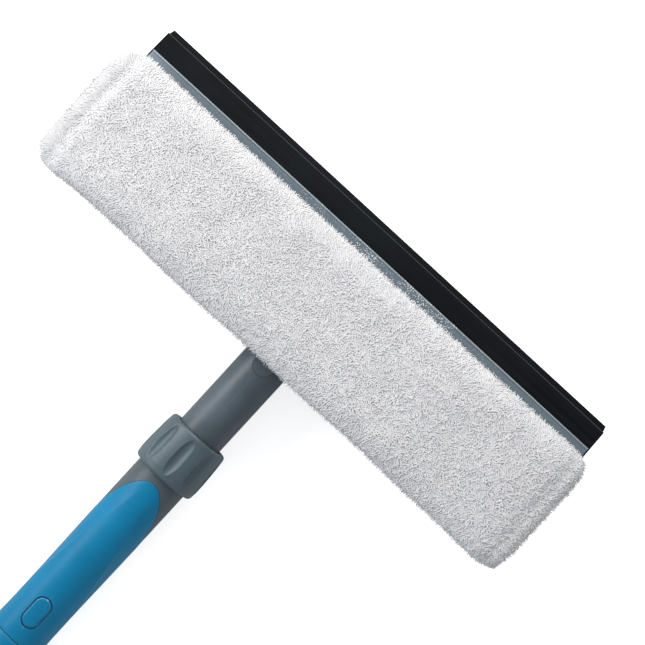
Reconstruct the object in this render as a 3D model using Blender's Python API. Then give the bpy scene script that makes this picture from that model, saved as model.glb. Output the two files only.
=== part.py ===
"""Window cleaning squeegee with a telescopic pole.

The head carries a rubber blade along its top edge and a fleece washer pad on
its face. It tilts on a pin at the top of the neck. The neck and its inner
tube slide in the handle, where a twist collar clamps them.

Frame: the tool lies on its back. +Z faces out of the pad, X runs along the
blade and +Y runs up the pole to the blade's edge. The origin is on the
surface it lies on, under the middle of its length.
"""

import math

import bmesh
import bpy
from mathutils import Matrix, Vector

# Every size below is in millimetres; MM turns it into Blender's metres.
MM = 0.001
GAP = 0.3
FUSE = 0.6
MERGE_DIST = 0.001

# The whole tool
HALF_LENGTH = 250.0
POLE_Z = 18.5
ROUND_STEPS = 40
FINE_STEPS = 48
COLLAR_STEPS = 54
SMALL_STEPS = 16

# Pole tubes and sleeves, as outer radii
INNER_TUBE_R = 9.5
INNER_TUBE_WALL = 1.2
INNER_TUBE_Y = (-200.0, 131.0)
NECK_R = 13.0
NECK_Y = (103.6, 172.0)
OUTER_TUBE_R = 11.6
OUTER_TUBE_WALL = 1.0
OUTER_TUBE_Y = (-226.0, 88.0)
GRIP_R = 15.0
SEAM_Y = -30.8
END_CAP_Y = -210.0
KEYWAY_HALF_WIDTH = 2.0
KEYWAY_Y = (-168.0, -7.0)

# The slanted joint between the grey ferrule and the blue grip
TONGUE_TIP_Y = 74.5
TONGUE_HEEL_Y = 12.0
FERRULE_TOP_Y = 87.5

# Finger waists of the lower grip
WAISTS = 3
WAIST_SAMPLES = 15
WAIST_DEPTH = 0.9

# Twist collar
COLLAR_Y = (79.0, 106.8)
COLLAR_BORE_R = 15.35
RECESS_COUNT = 9
RECESS_HALF = (3.2, 11.5, 1.7)
RECESS_Y = 93.2
COLLAR_R = 18.4

# Buttons: half width and half length of each hole and of its hidden pocket
LOCK_Y = -12.6
LOCK_HOLE = (5.25, 9.5)
LOCK_POCKET = (5.8, 10.05)
LOCK_SPRING_R = 2.9
RELEASE_Y = 159.5
RELEASE_HOLE = (6.1, 9.6)
RELEASE_POCKET = (6.9, 10.5)
RELEASE_LOW_Z = 24.3
RELEASE_FLAT_Z = 29.7
RELEASE_SPRING_R = 2.3

# Tilt joint
PIVOT_Y = 185.0
CHEEK_R = 8.5
CHEEK_X = (8.6, 12.6)
EYE_HALF_WIDTH = 7.0
PIN_R = 3.0
SHOULDER_Y = (172.3, 175.3)

# Carrier frame
PLATE_HALF_LENGTH = 148.0
PLATE_Y = 163.0
PLATE_Z = (26.0, 30.0)
STRIP_Z = (29.7, 31.1)

# Blade: the rails and the rubber lean back from this line
BLADE_LINE = (222.0, 26.2)
LEAN_DEG = 12.0
BLADE_HALF_LENGTH = 150.0
RAIL_HALF_LENGTH = 149.4
RAIL_LOW = -6.0
RAIL_TOP = 13.1
RAIL_BACK_TOP = 11.7
LIP_LENGTH = 3.1
RUBBER_HALF = 1.1
LIP_FRONT = 0.2
SCREW_SPACING = 66.0
SCREW_U = -2.2

# Washer pad
PAD_HALF_LENGTH = 157.5
PAD_Y = (155.7, 230.4)
PAD_Z = (31.5, 46.0)
PAD_CORNER_R = 10.0
FOAM_HALF_LENGTH = 145.0
FOAM_Y = (168.0, 218.0)
POCKET_X = 108.0
POCKET_BACK_Z = 20.0

# End cap
CAP_R = 20.0
HANG_HOLE_Y = -236.5
HANG_HOLE_R = 5.5
CAP_SCREW_Y = -219.5
NECK_SCREW_Y = 119.0

COLOURS = {
    "grey_plastic": ((0.115, 0.150, 0.175), 0.42, 0.0),
    "rail_grey": ((0.180, 0.225, 0.255), 0.35, 0.0),
    "blue_grip": ((0.004, 0.180, 0.400), 0.45, 0.0),
    "black_rubber": ((0.012, 0.014, 0.017), 0.60, 0.0),
    "white_fleece": ((0.830, 0.835, 0.850), 0.95, 0.0),
    "foam": ((0.550, 0.560, 0.580), 0.90, 0.0),
    "hook_tape": ((0.040, 0.045, 0.050), 0.85, 0.0),
    "aluminium": ((0.560, 0.570, 0.580), 0.30, 1.0),
    "steel": ((0.450, 0.460, 0.470), 0.28, 1.0),
    "white_plastic": ((0.700, 0.700, 0.680), 0.40, 0.0),
}


# ---------------------------------------------------------------- scene tools


def clear_scene():
    for obj in list(bpy.data.objects):
        bpy.data.objects.remove(obj, do_unlink=True)


def material(finish):
    """One Principled material for each finish, shared by its pieces."""
    found = bpy.data.materials.get(finish)
    if found:
        return found
    colour, roughness, metallic = COLOURS[finish]
    made = bpy.data.materials.new(finish)
    made.use_nodes = True
    shader = made.node_tree.nodes["Principled BSDF"]
    shader.inputs["Base Color"].default_value = (*colour, 1.0)
    shader.inputs["Roughness"].default_value = roughness
    shader.inputs["Metallic"].default_value = metallic
    made.diffuse_color = (*colour, 1.0)
    return made


def frame_empty(name, location, lean_deg=0.0):
    empty = bpy.data.objects.new(name, None)
    empty.location = [value * MM for value in location]
    empty.rotation_euler.x = math.radians(-lean_deg)
    bpy.context.collection.objects.link(empty)
    return empty


def make_object(name, bm, finish, parent=None):
    """Turns a bmesh drawn in millimetres into a shaded object in metres."""
    bmesh.ops.recalc_face_normals(bm, faces=bm.faces)
    bmesh.ops.scale(bm, vec=(MM, MM, MM), verts=bm.verts)
    mesh = bpy.data.meshes.new(name)
    bm.to_mesh(mesh)
    bm.free()
    mesh.shade_smooth()
    mesh.set_sharp_from_angle(angle=math.radians(32))
    obj = bpy.data.objects.new(name, mesh)
    obj.data.materials.append(material(finish))
    bpy.context.collection.objects.link(obj)
    obj.parent = parent
    return obj


def boolean(target, operation, bm, label):
    """Joins or cuts target with a helper solid that shares its frame."""
    helper = make_object(f"{target.name}_{label}", bm, "steel", target.parent)
    helper.location = target.location
    helper.hide_render = True
    helper.display_type = "WIRE"
    modifier = target.modifiers.new(label, "BOOLEAN")
    modifier.operation = operation
    modifier.solver = "EXACT"
    modifier.object = helper


def cut(target, bm, label):
    boolean(target, "DIFFERENCE", bm, label)


def join(target, bm, label):
    boolean(target, "UNION", bm, label)


# ---------------------------------------------------------------- shape tools


def turned(outline, steps=ROUND_STEPS, closed=True):
    """Spins (radius, y) points about Y. An open outline ends on the axis."""
    bm = bmesh.new()
    verts = [bm.verts.new((radius, y, 0.0)) for radius, y in outline]
    edges = [bm.edges.new(pair) for pair in zip(verts, verts[1:])]
    if closed:
        edges.append(bm.edges.new((verts[-1], verts[0])))
    bmesh.ops.spin(
        bm,
        geom=verts + edges,
        cent=(0.0, 0.0, 0.0),
        axis=(0.0, 1.0, 0.0),
        angle=math.tau,
        steps=steps,
        use_merge=True,
    )
    bmesh.ops.remove_doubles(bm, verts=bm.verts, dist=MERGE_DIST)
    return bm


def tube(inner_r, outer_r, y_low, y_high, steps=ROUND_STEPS):
    corners = [(inner_r, y_low), (outer_r, y_low), (outer_r, y_high), (inner_r, y_high)]
    return turned(corners, steps)


def extruded(points, offset):
    """A flat outline of 3-D points pushed along offset into a solid."""
    bm = bmesh.new()
    face = bm.faces.new([bm.verts.new(point) for point in points])
    pushed = bmesh.ops.extrude_face_region(bm, geom=[face])
    moved = [item for item in pushed["geom"] if isinstance(item, bmesh.types.BMVert)]
    bmesh.ops.translate(bm, vec=offset, verts=moved)
    return bm


def prism_x(outline, x_low, x_high):
    """Extrudes (y, z) points along X."""
    return extruded([(x_low, y, z) for y, z in outline], (x_high - x_low, 0.0, 0.0))


def prism_z(outline, z_low, z_high):
    """Extrudes (x, y) points along Z."""
    return extruded([(x, y, z_low) for x, y in outline], (0.0, 0.0, z_high - z_low))


def box(x_range, y_range, z_range):
    (x_low, x_high), (y_low, y_high), (z_low, z_high) = x_range, y_range, z_range
    corners = [(x_low, y_low), (x_high, y_low), (x_high, y_high), (x_low, y_high)]
    return prism_z(corners, z_low, z_high)


def cylinder(radius, length, centre, along, steps=SMALL_STEPS):
    """A plain round solid centred at a point, along X, Y or Z."""
    bm = bmesh.new()
    turn = Vector((0.0, 0.0, 1.0)).rotation_difference(Vector(along)).to_matrix().to_4x4()
    bmesh.ops.create_cone(
        bm,
        cap_ends=True,
        segments=steps,
        radius1=radius,
        radius2=radius,
        depth=length,
        matrix=Matrix.Translation(centre) @ turn,
    )
    return bm


def arc(centre, radius, start_deg, end_deg, steps):
    """Points along a round stretch of an outline, ends included."""
    points = []
    for step in range(steps + 1):
        angle = math.radians(start_deg + (end_deg - start_deg) * step / steps)
        points.append((centre[0] + radius * math.cos(angle), centre[1] + radius * math.sin(angle)))
    return points


def obround(half_width, half_length, centre_y, steps=8):
    """A long hole's outline in (x, y), with its round ends up and down the pole."""
    straight = half_length - half_width
    upper = arc((0.0, centre_y + straight), half_width, 0.0, 180.0, steps)
    lower = arc((0.0, centre_y - straight), half_width, 180.0, 360.0, steps)
    return upper + lower


def rounded_rectangle(x_half, y_range, radius, steps=5):
    y_low, y_high = y_range
    corners = [
        (x_half - radius, y_high - radius, 0.0),
        (-x_half + radius, y_high - radius, 90.0),
        (-x_half + radius, y_low + radius, 180.0),
        (x_half - radius, y_low + radius, 270.0),
    ]
    points = []
    for x, y, start in corners:
        points += arc((x, y), radius, start, start + 90.0, steps)
    return points


def merged(*parts):
    """Several separate cutter solids in one mesh."""
    whole = bmesh.new()
    for part in parts:
        piece = bpy.data.meshes.new("cutter_piece")
        part.to_mesh(piece)
        part.free()
        whole.from_mesh(piece)
        bpy.data.meshes.remove(piece)
    return whole


def mirrored_x(make, x_range, *rest):
    """The same solid on both sides of the middle plane."""
    low, high = x_range
    return merged(make((low, high), *rest), make((-high, -low), *rest))


def coil(name, radius, wire_r, turns, z_low, z_high, centre, finish, parent):
    """A closed helical spring standing along Z."""
    per_turn = 10
    total = int(turns * per_turn)
    curve = bpy.data.curves.new(name, "CURVE")
    curve.dimensions = "3D"
    curve.bevel_depth = wire_r * MM
    curve.bevel_resolution = 1
    curve.use_fill_caps = True
    spline = curve.splines.new("POLY")
    spline.points.add(total)
    rise = z_high - z_low - 2.0 * wire_r
    for index, point in enumerate(spline.points):
        angle = math.tau * index / per_turn
        x = centre[0] + radius * math.cos(angle)
        y = centre[1] + radius * math.sin(angle)
        z = z_low + wire_r + rise * index / total
        point.co = (x * MM, y * MM, z * MM, 1.0)
    spring = bpy.data.objects.new(name, curve)
    spring.data.materials.append(material(finish))
    bpy.context.collection.objects.link(spring)
    spring.parent = parent
    return spring


# ---------------------------------------------------------------- the handle


def outer_tube(pole):
    wall = (OUTER_TUBE_R - OUTER_TUBE_WALL, OUTER_TUBE_R)
    piece = make_object("outer_tube", tube(*wall, *OUTER_TUBE_Y), "aluminium", pole)
    cut(piece, prism_z(obround(*LOCK_POCKET, LOCK_Y), 5.0, 14.0), "button_window")
    cut(piece, cylinder(1.6, 8.0, (0.0, CAP_SCREW_Y, -11.0), (0, 0, 1)), "screw_hole")


def handle_ferrule(pole):
    """Grey top of the handle, with rounded thread rings under the collar."""
    inner = OUTER_TUBE_R + GAP
    root = GRIP_R - 0.7
    ring_pitch = 2.4
    ring_half = 0.7
    outline = [(inner, TONGUE_HEEL_Y - 6.0), (GRIP_R, TONGUE_HEEL_Y - 6.0), (GRIP_R, 78.6)]
    for turn in range(3):
        middle = 80.6 + turn * ring_pitch
        outline.append((root, middle - ring_half))
        outline.append((GRIP_R, middle - 0.25))
        outline.append((GRIP_R, middle + 0.25))
        outline.append((root, middle + ring_half))
    outline += [(root, FERRULE_TOP_Y), (inner, FERRULE_TOP_Y)]
    piece = make_object("handle_ferrule", turned(outline), "grey_plastic", pole)
    cut(piece, slant_block(below=True), "slant")


def slant_block(below):
    """Everything on one side of the slanted plane between ferrule and grip."""
    slope = (TONGUE_TIP_Y - TONGUE_HEEL_Y) / (2.0 * GRIP_R)
    reach = GRIP_R + 5.0
    middle = 0.5 * (TONGUE_TIP_Y + TONGUE_HEEL_Y)
    shift = GAP * slope
    back = middle - slope * reach
    front = middle + slope * reach
    if below:
        far = back - 60.0
        outline = [(back, -reach), (front, reach), (far, reach), (far, -reach)]
    else:
        far = front + 60.0
        outline = [(back - shift, -reach), (front - shift, reach), (far, reach), (far, -reach)]
    return prism_x(outline, -reach, reach)


def upper_grip(pole):
    inner = OUTER_TUBE_R + GAP
    body = tube(inner, GRIP_R, SEAM_Y, TONGUE_TIP_Y + 8.0, FINE_STEPS)
    piece = make_object("upper_grip", body, "blue_grip", pole)
    cut(piece, slant_block(below=False), "slant")
    cut(piece, prism_z(obround(*LOCK_POCKET, LOCK_Y), 5.0, 31.3 - POLE_Z), "flange_pocket")
    cut(piece, prism_z(obround(*LOCK_HOLE, LOCK_Y), 10.0, 20.0), "button_hole")


def lower_grip(pole):
    """Blue lower grip, with shallow waists for the fingers."""
    inner = OUTER_TUBE_R + GAP
    top = SEAM_Y - GAP
    low = END_CAP_Y + GAP
    outline = [(inner, low), (GRIP_R, low)]
    for step in range(1, WAIST_SAMPLES):
        share = step / WAIST_SAMPLES
        wave = 0.5 - 0.5 * math.cos(math.tau * WAISTS * share)
        dip = WAIST_DEPTH * wave * math.sin(math.pi * share)
        outline.append((GRIP_R - dip, low + (top - low) * share))
    outline += [(GRIP_R, top), (inner, top)]
    make_object("lower_grip", turned(outline), "blue_grip", pole)


def lock_button(pole):
    half_width = LOCK_HOLE[0] - 0.6
    half_length = LOCK_HOLE[1] - 0.6
    flange_z = 30.4 - POLE_Z
    body = prism_z(obround(half_width, half_length, LOCK_Y), flange_z, 18.0)
    piece = make_object("lock_button", body, "blue_grip", pole)
    crown = tube(GRIP_R + 0.15, GRIP_R + 8.0, LOCK_Y - 14.0, LOCK_Y + 14.0, 64)
    cut(piece, crown, "crown")
    flange = obround(LOCK_POCKET[0] - GAP, LOCK_POCKET[1] - GAP, LOCK_Y)
    join(piece, prism_z(flange, flange_z, flange_z + FUSE), "flange")
    cut(piece, cylinder(3.5, 3.4, (0.0, LOCK_Y, flange_z), (0, 0, 1)), "spring_seat")
    nib = box((-1.2, 1.2), (LOCK_Y - 1.9, LOCK_Y + 1.9), (27.0 - POLE_Z, 32.4 - POLE_Z))
    join(piece, nib, "nib")


def button_seat(pole):
    """Plate under the lock button that carries its spring."""
    outline = obround(LOCK_POCKET[0] - 0.4, LOCK_POCKET[1] - 0.4, LOCK_Y)
    plate = prism_z(outline, 28.3 - POLE_Z, 28.9 - POLE_Z)
    piece = make_object("button_seat", plate, "steel", pole)
    cut(piece, box((-1.7, 1.7), (LOCK_Y - 2.4, LOCK_Y + 2.4), (5.0, 15.0)), "nib_slot")


def clamp_collet(pole):
    """Split tapered ring that the twist collar squeezes onto the inner tube."""
    inner = INNER_TUBE_R + GAP
    outline = [(inner, 88.4), (12.7, 88.4), (12.7, 92.6), (10.7, 99.2), (inner, 99.2)]
    piece = make_object("clamp_collet", turned(outline), "white_plastic", pole)
    slit_half = 0.8
    cut(piece, box((-slit_half, slit_half), (87.0, 101.0), (-16.0, -5.0)), "slit")


def twist_collar(pole):
    low, high = COLLAR_Y
    bore = COLLAR_BORE_R
    outline = [
        (bore, low),
        (16.7, low),
        (17.6, low + 0.5),
        (18.15, low + 1.7),
        (COLLAR_R, low + 5.5),
        (COLLAR_R, low + 11.0),
        (18.2, low + 17.0),
        (17.8, low + 23.0),
        (17.3, high - 1.8),
        (16.8, high - 0.6),
        (16.0, high),
        (13.35, high),
        (13.35, 103.2),
        (9.9, 103.2),
        (9.9, 99.9),
        (11.2, 99.9),
        (13.3, 93.0),
        (13.3, 91.0),
        (bore, 89.0),
    ]
    piece = make_object("twist_collar", turned(outline, COLLAR_STEPS), "grey_plastic", pole)
    cutters = []
    for index in range(RECESS_COUNT):
        ball = bmesh.new()
        bmesh.ops.create_uvsphere(ball, u_segments=12, v_segments=8, radius=1.0)
        bmesh.ops.rotate(ball, verts=ball.verts, matrix=Matrix.Rotation(math.pi / 2, 3, "X"))
        bmesh.ops.scale(ball, vec=RECESS_HALF, verts=ball.verts)
        bmesh.ops.translate(ball, vec=(0.0, RECESS_Y, COLLAR_R), verts=ball.verts)
        turn = Matrix.Rotation(math.tau * index / RECESS_COUNT, 3, "Y")
        bmesh.ops.rotate(ball, verts=ball.verts, matrix=turn)
        cutters.append(ball)
    cut(piece, merged(*cutters), "finger_recesses")


def end_cap(pole):
    """Flared butt with a socket for the tube, two flats and a hanging hole."""
    socket_r = OUTER_TUBE_R + GAP
    socket_floor = OUTER_TUBE_Y[0] - GAP
    outline = [
        (0.0, -HALF_LENGTH),
        (13.0, -HALF_LENGTH),
        (16.5, -249.2),
        (18.9, -247.0),
        (CAP_R, -243.6),
        (CAP_R, -225.0),
        (19.2, -221.5),
        (17.0, -217.0),
        (15.4, -213.0),
        (GRIP_R, END_CAP_Y),
        (socket_r, END_CAP_Y),
        (socket_r, socket_floor),
        (0.0, socket_floor),
    ]
    piece = make_object("end_cap", turned(outline, ROUND_STEPS, False), "grey_plastic", pole)
    wide = (-CAP_R - 5.0, CAP_R + 5.0)
    long = (-HALF_LENGTH - 5.0, END_CAP_Y + 5.0)
    above = box(wide, long, (POLE_Z, POLE_Z + 8.0))
    below = box(wide, long, (-POLE_Z - 8.0, -POLE_Z))
    cut(piece, merged(above, below), "flats")
    hole = cylinder(HANG_HOLE_R, 60.0, (0.0, HANG_HOLE_Y, 0.0), (0, 0, 1), 24)
    cut(piece, hole, "hanging_hole")
    cut(piece, cylinder(1.6, 12.0, (0.0, CAP_SCREW_Y, -17.0), (0, 0, 1)), "screw_hole")
    cut(piece, cylinder(3.1, 6.0, (0.0, CAP_SCREW_Y, -17.0), (0, 0, 1)), "screw_sink")


def headed_screw(name, shank_r, head_r, shank_length, head_height, place, parent):
    """Pan-head screw along Z, with its head at the bottom and a cross recess."""
    outline = [
        (0.0, -head_height),
        (head_r * 0.75, -head_height),
        (head_r, -head_height * 0.55),
        (head_r, 0.0),
        (shank_r, 0.0),
        (shank_r, shank_length),
        (0.0, shank_length),
    ]
    bm = turned(outline, SMALL_STEPS, False)
    bmesh.ops.rotate(bm, verts=bm.verts, matrix=Matrix.Rotation(math.pi / 2, 3, "X"))
    screw = make_object(name, bm, "steel", parent)
    screw.location = [value * MM for value in place]
    arm = head_r * 0.62
    slot = head_r * 0.13
    depth = (-head_height - 1.0, -head_height * 0.45)
    cross = box((-arm, arm), (-slot, slot), depth)
    cut(screw, cross, "slot_one")
    cut(screw, box((-slot, slot), (-arm, arm), depth), "slot_two")


# ---------------------------------------------------------------- the neck


def inner_tube(neck):
    wall = (INNER_TUBE_R - INNER_TUBE_WALL, INNER_TUBE_R)
    piece = make_object("inner_tube", tube(*wall, *INNER_TUBE_Y), "aluminium", neck)
    keyway = obround(
        KEYWAY_HALF_WIDTH,
        0.5 * (KEYWAY_Y[1] - KEYWAY_Y[0]),
        0.5 * (KEYWAY_Y[1] + KEYWAY_Y[0]),
    )
    cut(piece, prism_z(keyway, 3.0, 14.0), "keyway")
    cut(piece, cylinder(1.6, 8.0, (0.0, NECK_SCREW_Y, -10.0), (0, 0, 1)), "screw_hole")


def tube_end_bush(neck):
    """Plastic guide ring on the inner tube's lower end, with a plug inside it."""
    low = INNER_TUBE_Y[0]
    plug_r = INNER_TUBE_R - INNER_TUBE_WALL - GAP
    ring_r = OUTER_TUBE_R - OUTER_TUBE_WALL - GAP
    outline = [
        (plug_r - 1.7, low - 3.0),
        (ring_r, low - 3.0),
        (ring_r, low - GAP),
        (plug_r, low - GAP),
        (plug_r, low + 12.0),
        (plug_r - 1.7, low + 12.0),
    ]
    make_object("tube_end_bush", turned(outline), "white_plastic", neck)


def neck_sleeve(neck):
    inner = INNER_TUBE_R + GAP
    low, high = NECK_Y
    outline = [
        (inner, low),
        (NECK_R - 0.4, low),
        (NECK_R, low + 0.4),
        (NECK_R, high),
        (inner, high),
    ]
    piece = make_object("neck_sleeve", turned(outline, FINE_STEPS), "grey_plastic", neck)
    cut(piece, prism_z(obround(*RELEASE_HOLE, RELEASE_Y), 4.0, 16.0), "button_hole")
    cut(piece, cylinder(1.6, 8.0, (0.0, NECK_SCREW_Y, -11.0), (0, 0, 1)), "screw_hole")
    cut(piece, cylinder(3.1, 3.0, (0.0, NECK_SCREW_Y, -12.3), (0, 0, 1)), "screw_sink")


def swivel_knuckle(neck):
    """Spigot in the neck's top, a shoulder, and the eye for the tilt pin."""
    eye_y = PIVOT_Y
    outline = [
        (0.0, 134.0),
        (8.9, 134.0),
        (INNER_TUBE_R, 135.0),
        (INNER_TUBE_R, SHOULDER_Y[0]),
        (NECK_R, SHOULDER_Y[0]),
        (NECK_R, SHOULDER_Y[1] - 0.8),
        (NECK_R - 0.8, SHOULDER_Y[1]),
        (0.0, SHOULDER_Y[1]),
    ]
    piece = make_object("swivel_knuckle", turned(outline, ROUND_STEPS, False), "grey_plastic", neck)
    rounded = arc((eye_y, 0.0), CHEEK_R, -90.0, 90.0, 12)
    eye = [(SHOULDER_Y[0] + 1.0, -CHEEK_R)] + rounded + [(SHOULDER_Y[0] + 1.0, CHEEK_R)]
    join(piece, prism_x(eye, -EYE_HALF_WIDTH, EYE_HALF_WIDTH), "eye")
    cut(piece, cylinder(PIN_R + GAP, 40.0, (0.0, eye_y, 0.0), (1, 0, 0), 24), "pin_bore")
    pocket = prism_z(obround(*RELEASE_POCKET, RELEASE_Y), RELEASE_LOW_Z - 2.1 - POLE_Z, 14.0)
    cut(piece, pocket, "button_pocket")
    bore = cylinder(RELEASE_SPRING_R + 0.9, 10.0, (0.0, RELEASE_Y, 18.8 - POLE_Z + 5.0), (0, 0, 1))
    cut(piece, bore, "spring_bore")


def head_release_button(neck):
    """Oval thumb button whose top ramps down to a flat, held in by a lip."""
    half_width = RELEASE_HOLE[0] - GAP
    half_length = RELEASE_HOLE[1] - GAP
    low = RELEASE_LOW_Z - POLE_Z
    flat = RELEASE_FLAT_Z - POLE_Z
    body = prism_z(obround(half_width, half_length, RELEASE_Y), low, 14.0)
    piece = make_object("head_release_button", body, "grey_plastic", neck)
    ramp = [
        (RELEASE_Y - 12.6, flat + 2.5),
        (RELEASE_Y - 2.5, flat),
        (RELEASE_Y + 12.0, flat),
        (RELEASE_Y + 12.0, 17.0),
        (RELEASE_Y - 12.6, 17.0),
    ]
    cut(piece, prism_x(ramp, -10.0, 10.0), "thumb_ramp")
    lip = obround(RELEASE_POCKET[0] - 0.35, RELEASE_POCKET[1] - 0.35, RELEASE_Y)
    join(piece, prism_z(lip, low, low + 0.9), "lip")


# ---------------------------------------------------------------- the head


def lean_point(u, w):
    """A point of the leaning blade's cross-section, in (y, z)."""
    angle = math.radians(LEAN_DEG)
    y = BLADE_LINE[0] + u * math.cos(angle) + w * math.sin(angle)
    z = BLADE_LINE[1] - u * math.sin(angle) + w * math.cos(angle)
    return (y, z)


def carrier_frame(head):
    """Moulded plate with a notch for the neck, two cheeks, ribs and a tongue."""
    back_z, front_z = PLATE_Z
    step_y = 213.0
    outline = [
        (PLATE_Y, back_z),
        (step_y, back_z),
        lean_point(-8.9, -RUBBER_HALF),
        lean_point(1.7, -RUBBER_HALF),
        lean_point(1.7, RUBBER_HALF),
        lean_point(-13.0, RUBBER_HALF),
        (PLATE_Y, front_z),
    ]
    plate = prism_x(outline, -PLATE_HALF_LENGTH, PLATE_HALF_LENGTH)
    piece = make_object("carrier_frame", plate, "grey_plastic", head)

    neck_notch = box((-13.7, 13.7), (PLATE_Y - 5.0, 176.4), (20.0, 40.0))
    eye_notch = box((-8.25, 8.25), (170.0, 199.0), (20.0, 40.0))
    cut(piece, neck_notch, "neck_notch")
    cut(piece, eye_notch, "eye_notch")

    cheek_arc = arc((PIVOT_Y, POLE_Z), CHEEK_R, 180.0, 360.0, 14)
    cheek_arc += [(PIVOT_Y + CHEEK_R, back_z + 1.0), (PIVOT_Y - CHEEK_R, back_z + 1.0)]
    join(piece, mirrored_x(lambda xs: prism_x(cheek_arc, *xs), CHEEK_X), "cheeks")

    rib_z = (22.4, back_z + FUSE)
    join(piece, mirrored_x(box, (17.0, 104.0), (166.0, 168.2), rib_z), "lower_ribs")
    join(piece, mirrored_x(box, (17.0, 104.0), (208.0, 210.2), rib_z), "upper_ribs")
    for index, x in enumerate((17.0, 46.0, 75.0, 101.8)):
        join(piece, mirrored_x(box, (x, x + 2.2), (167.0, 209.0), rib_z), f"cross_ribs_{index}")

    floor_z = STRIP_Z[0] - GAP
    grooves = merged(
        box((-140.4, 140.4), (199.4, 207.6), (floor_z, 33.0)),
        box((19.6, 140.4), (166.6, 177.4), (floor_z, 33.0)),
        box((-140.4, -19.6), (166.6, 177.4), (floor_z, 33.0)),
    )
    cut(piece, grooves, "strip_grooves")
    bore = cylinder(PIN_R + GAP, 60.0, (0.0, PIVOT_Y, POLE_Z), (1, 0, 0), 24)
    cut(piece, bore, "pin_bore")
    holes = [leaned_cylinder(1.6, 12.0, x, SCREW_U, 0.0) for x in screw_places()]
    cut(piece, merged(*holes), "screw_holes")


def screw_places():
    return [SCREW_SPACING * index for index in (-2, -1, 0, 1, 2)]


def leaned_cylinder(radius, length, x, u, w):
    """A round cutter square to the leaning blade, in the head's frame."""
    angle = math.radians(LEAN_DEG)
    y, z = lean_point(u, w)
    return cylinder(radius, length, (x, y, z), (0.0, math.sin(angle), math.cos(angle)), 12)


def hook_strips(head):
    upper = box((-140.0, 140.0), (199.8, 207.2), STRIP_Z)
    make_object("hook_strip_upper", upper, "hook_tape", head)
    lower = ((20.0, 140.0), (167.0, 177.0), STRIP_Z)
    make_object("hook_strip_lower_right", box(*lower), "hook_tape", head)
    make_object("hook_strip_lower_left", box((-140.0, -20.0), *lower[1:]), "hook_tape", head)


def rail_groove(side):
    """The part of a rail's outline that holds the rubber's thick root."""
    face = 1.4 * side
    floor = 2.3 * side
    return [(1.7, face), (1.7, floor), (5.3, floor), (5.3, face)]


def blade_rail_front(blade):
    top = RAIL_TOP
    outline = [(RAIL_LOW, 1.4)] + rail_groove(1)
    outline += [(top, 1.4), (top, 3.3), (top - 0.3, 3.65), (top - 0.9, 3.65)]
    outline += [(top - 1.3, 3.2), (RAIL_LOW + 0.8, 3.2), (RAIL_LOW, 2.5)]
    rail = prism_x(outline, -RAIL_HALF_LENGTH, RAIL_HALF_LENGTH)
    piece = make_object("blade_rail_front", rail, "rail_grey", blade)
    holes = [cylinder(1.6, 2.8, (x, SCREW_U, 1.4), (0, 0, 1), 12) for x in screw_places()]
    cut(piece, merged(*holes), "screw_holes")


def blade_rail_back(blade):
    top = RAIL_BACK_TOP
    outline = [(RAIL_LOW, -1.4)] + rail_groove(-1)
    outline += [(top, -1.4), (top, -2.6), (top - 0.6, -3.2), (RAIL_LOW + 0.8, -3.2), (RAIL_LOW, -2.5)]
    rail = prism_x(outline, -RAIL_HALF_LENGTH, RAIL_HALF_LENGTH)
    piece = make_object("blade_rail_back", rail, "grey_plastic", blade)
    holes = [cylinder(1.6, 9.0, (x, SCREW_U, -2.0), (0, 0, 1), 12) for x in screw_places()]
    cut(piece, merged(*holes), "screw_holes")


def rubber_blade(blade):
    """Extruded rubber: a thick root held by the rails, a web and a thin lip."""
    angle = math.radians(LEAN_DEG)
    edge = (HALF_LENGTH - BLADE_LINE[0] - LIP_FRONT * math.sin(angle)) / math.cos(angle)
    step = edge - LIP_LENGTH
    outline = [
        (2.0, -1.9),
        (5.0, -1.9),
        (5.0, -RUBBER_HALF),
        (edge, -RUBBER_HALF),
        (edge, LIP_FRONT),
        (step, LIP_FRONT),
        (step - 0.4, RUBBER_HALF),
        (5.0, RUBBER_HALF),
        (5.0, 1.9),
        (2.0, 1.9),
    ]
    rubber = prism_x(outline, -BLADE_HALF_LENGTH, BLADE_HALF_LENGTH)
    make_object("rubber_blade", rubber, "black_rubber", blade)


def rail_screws(blade):
    for number, x in enumerate(screw_places(), start=1):
        place = (x, SCREW_U, -3.5)
        headed_screw(f"rail_screw_{number}", 1.25, 2.8, 5.9, 1.7, place, blade)


def washer_pad(head):
    """Plain closed form of the fleece pad, hollowed at the back for its core."""
    outline = rounded_rectangle(PAD_HALF_LENGTH, PAD_Y, PAD_CORNER_R)
    body = prism_z(outline, *PAD_Z)
    front = [edge for edge in body.edges if all(v.co.z > PAD_Z[1] - 0.1 for v in edge.verts)]
    bmesh.ops.bevel(body, geom=front, offset=6.0, segments=4, profile=0.5, affect="EDGES", material=-1)
    piece = make_object("washer_pad", body, "white_fleece", head)
    half = FOAM_HALF_LENGTH + GAP
    hollow = box((-half, half), (FOAM_Y[0] - GAP, FOAM_Y[1] + GAP), (PAD_Z[0] - 5.0, 37.4))
    cut(piece, hollow, "core_hollow")


def pad_core(head):
    half = FOAM_HALF_LENGTH
    make_object("loop_backing", box((-half, half), FOAM_Y, (31.5, 32.2)), "hook_tape", head)
    make_object("pad_foam", box((-half, half), FOAM_Y, (32.5, 37.1)), "foam", head)


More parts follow.
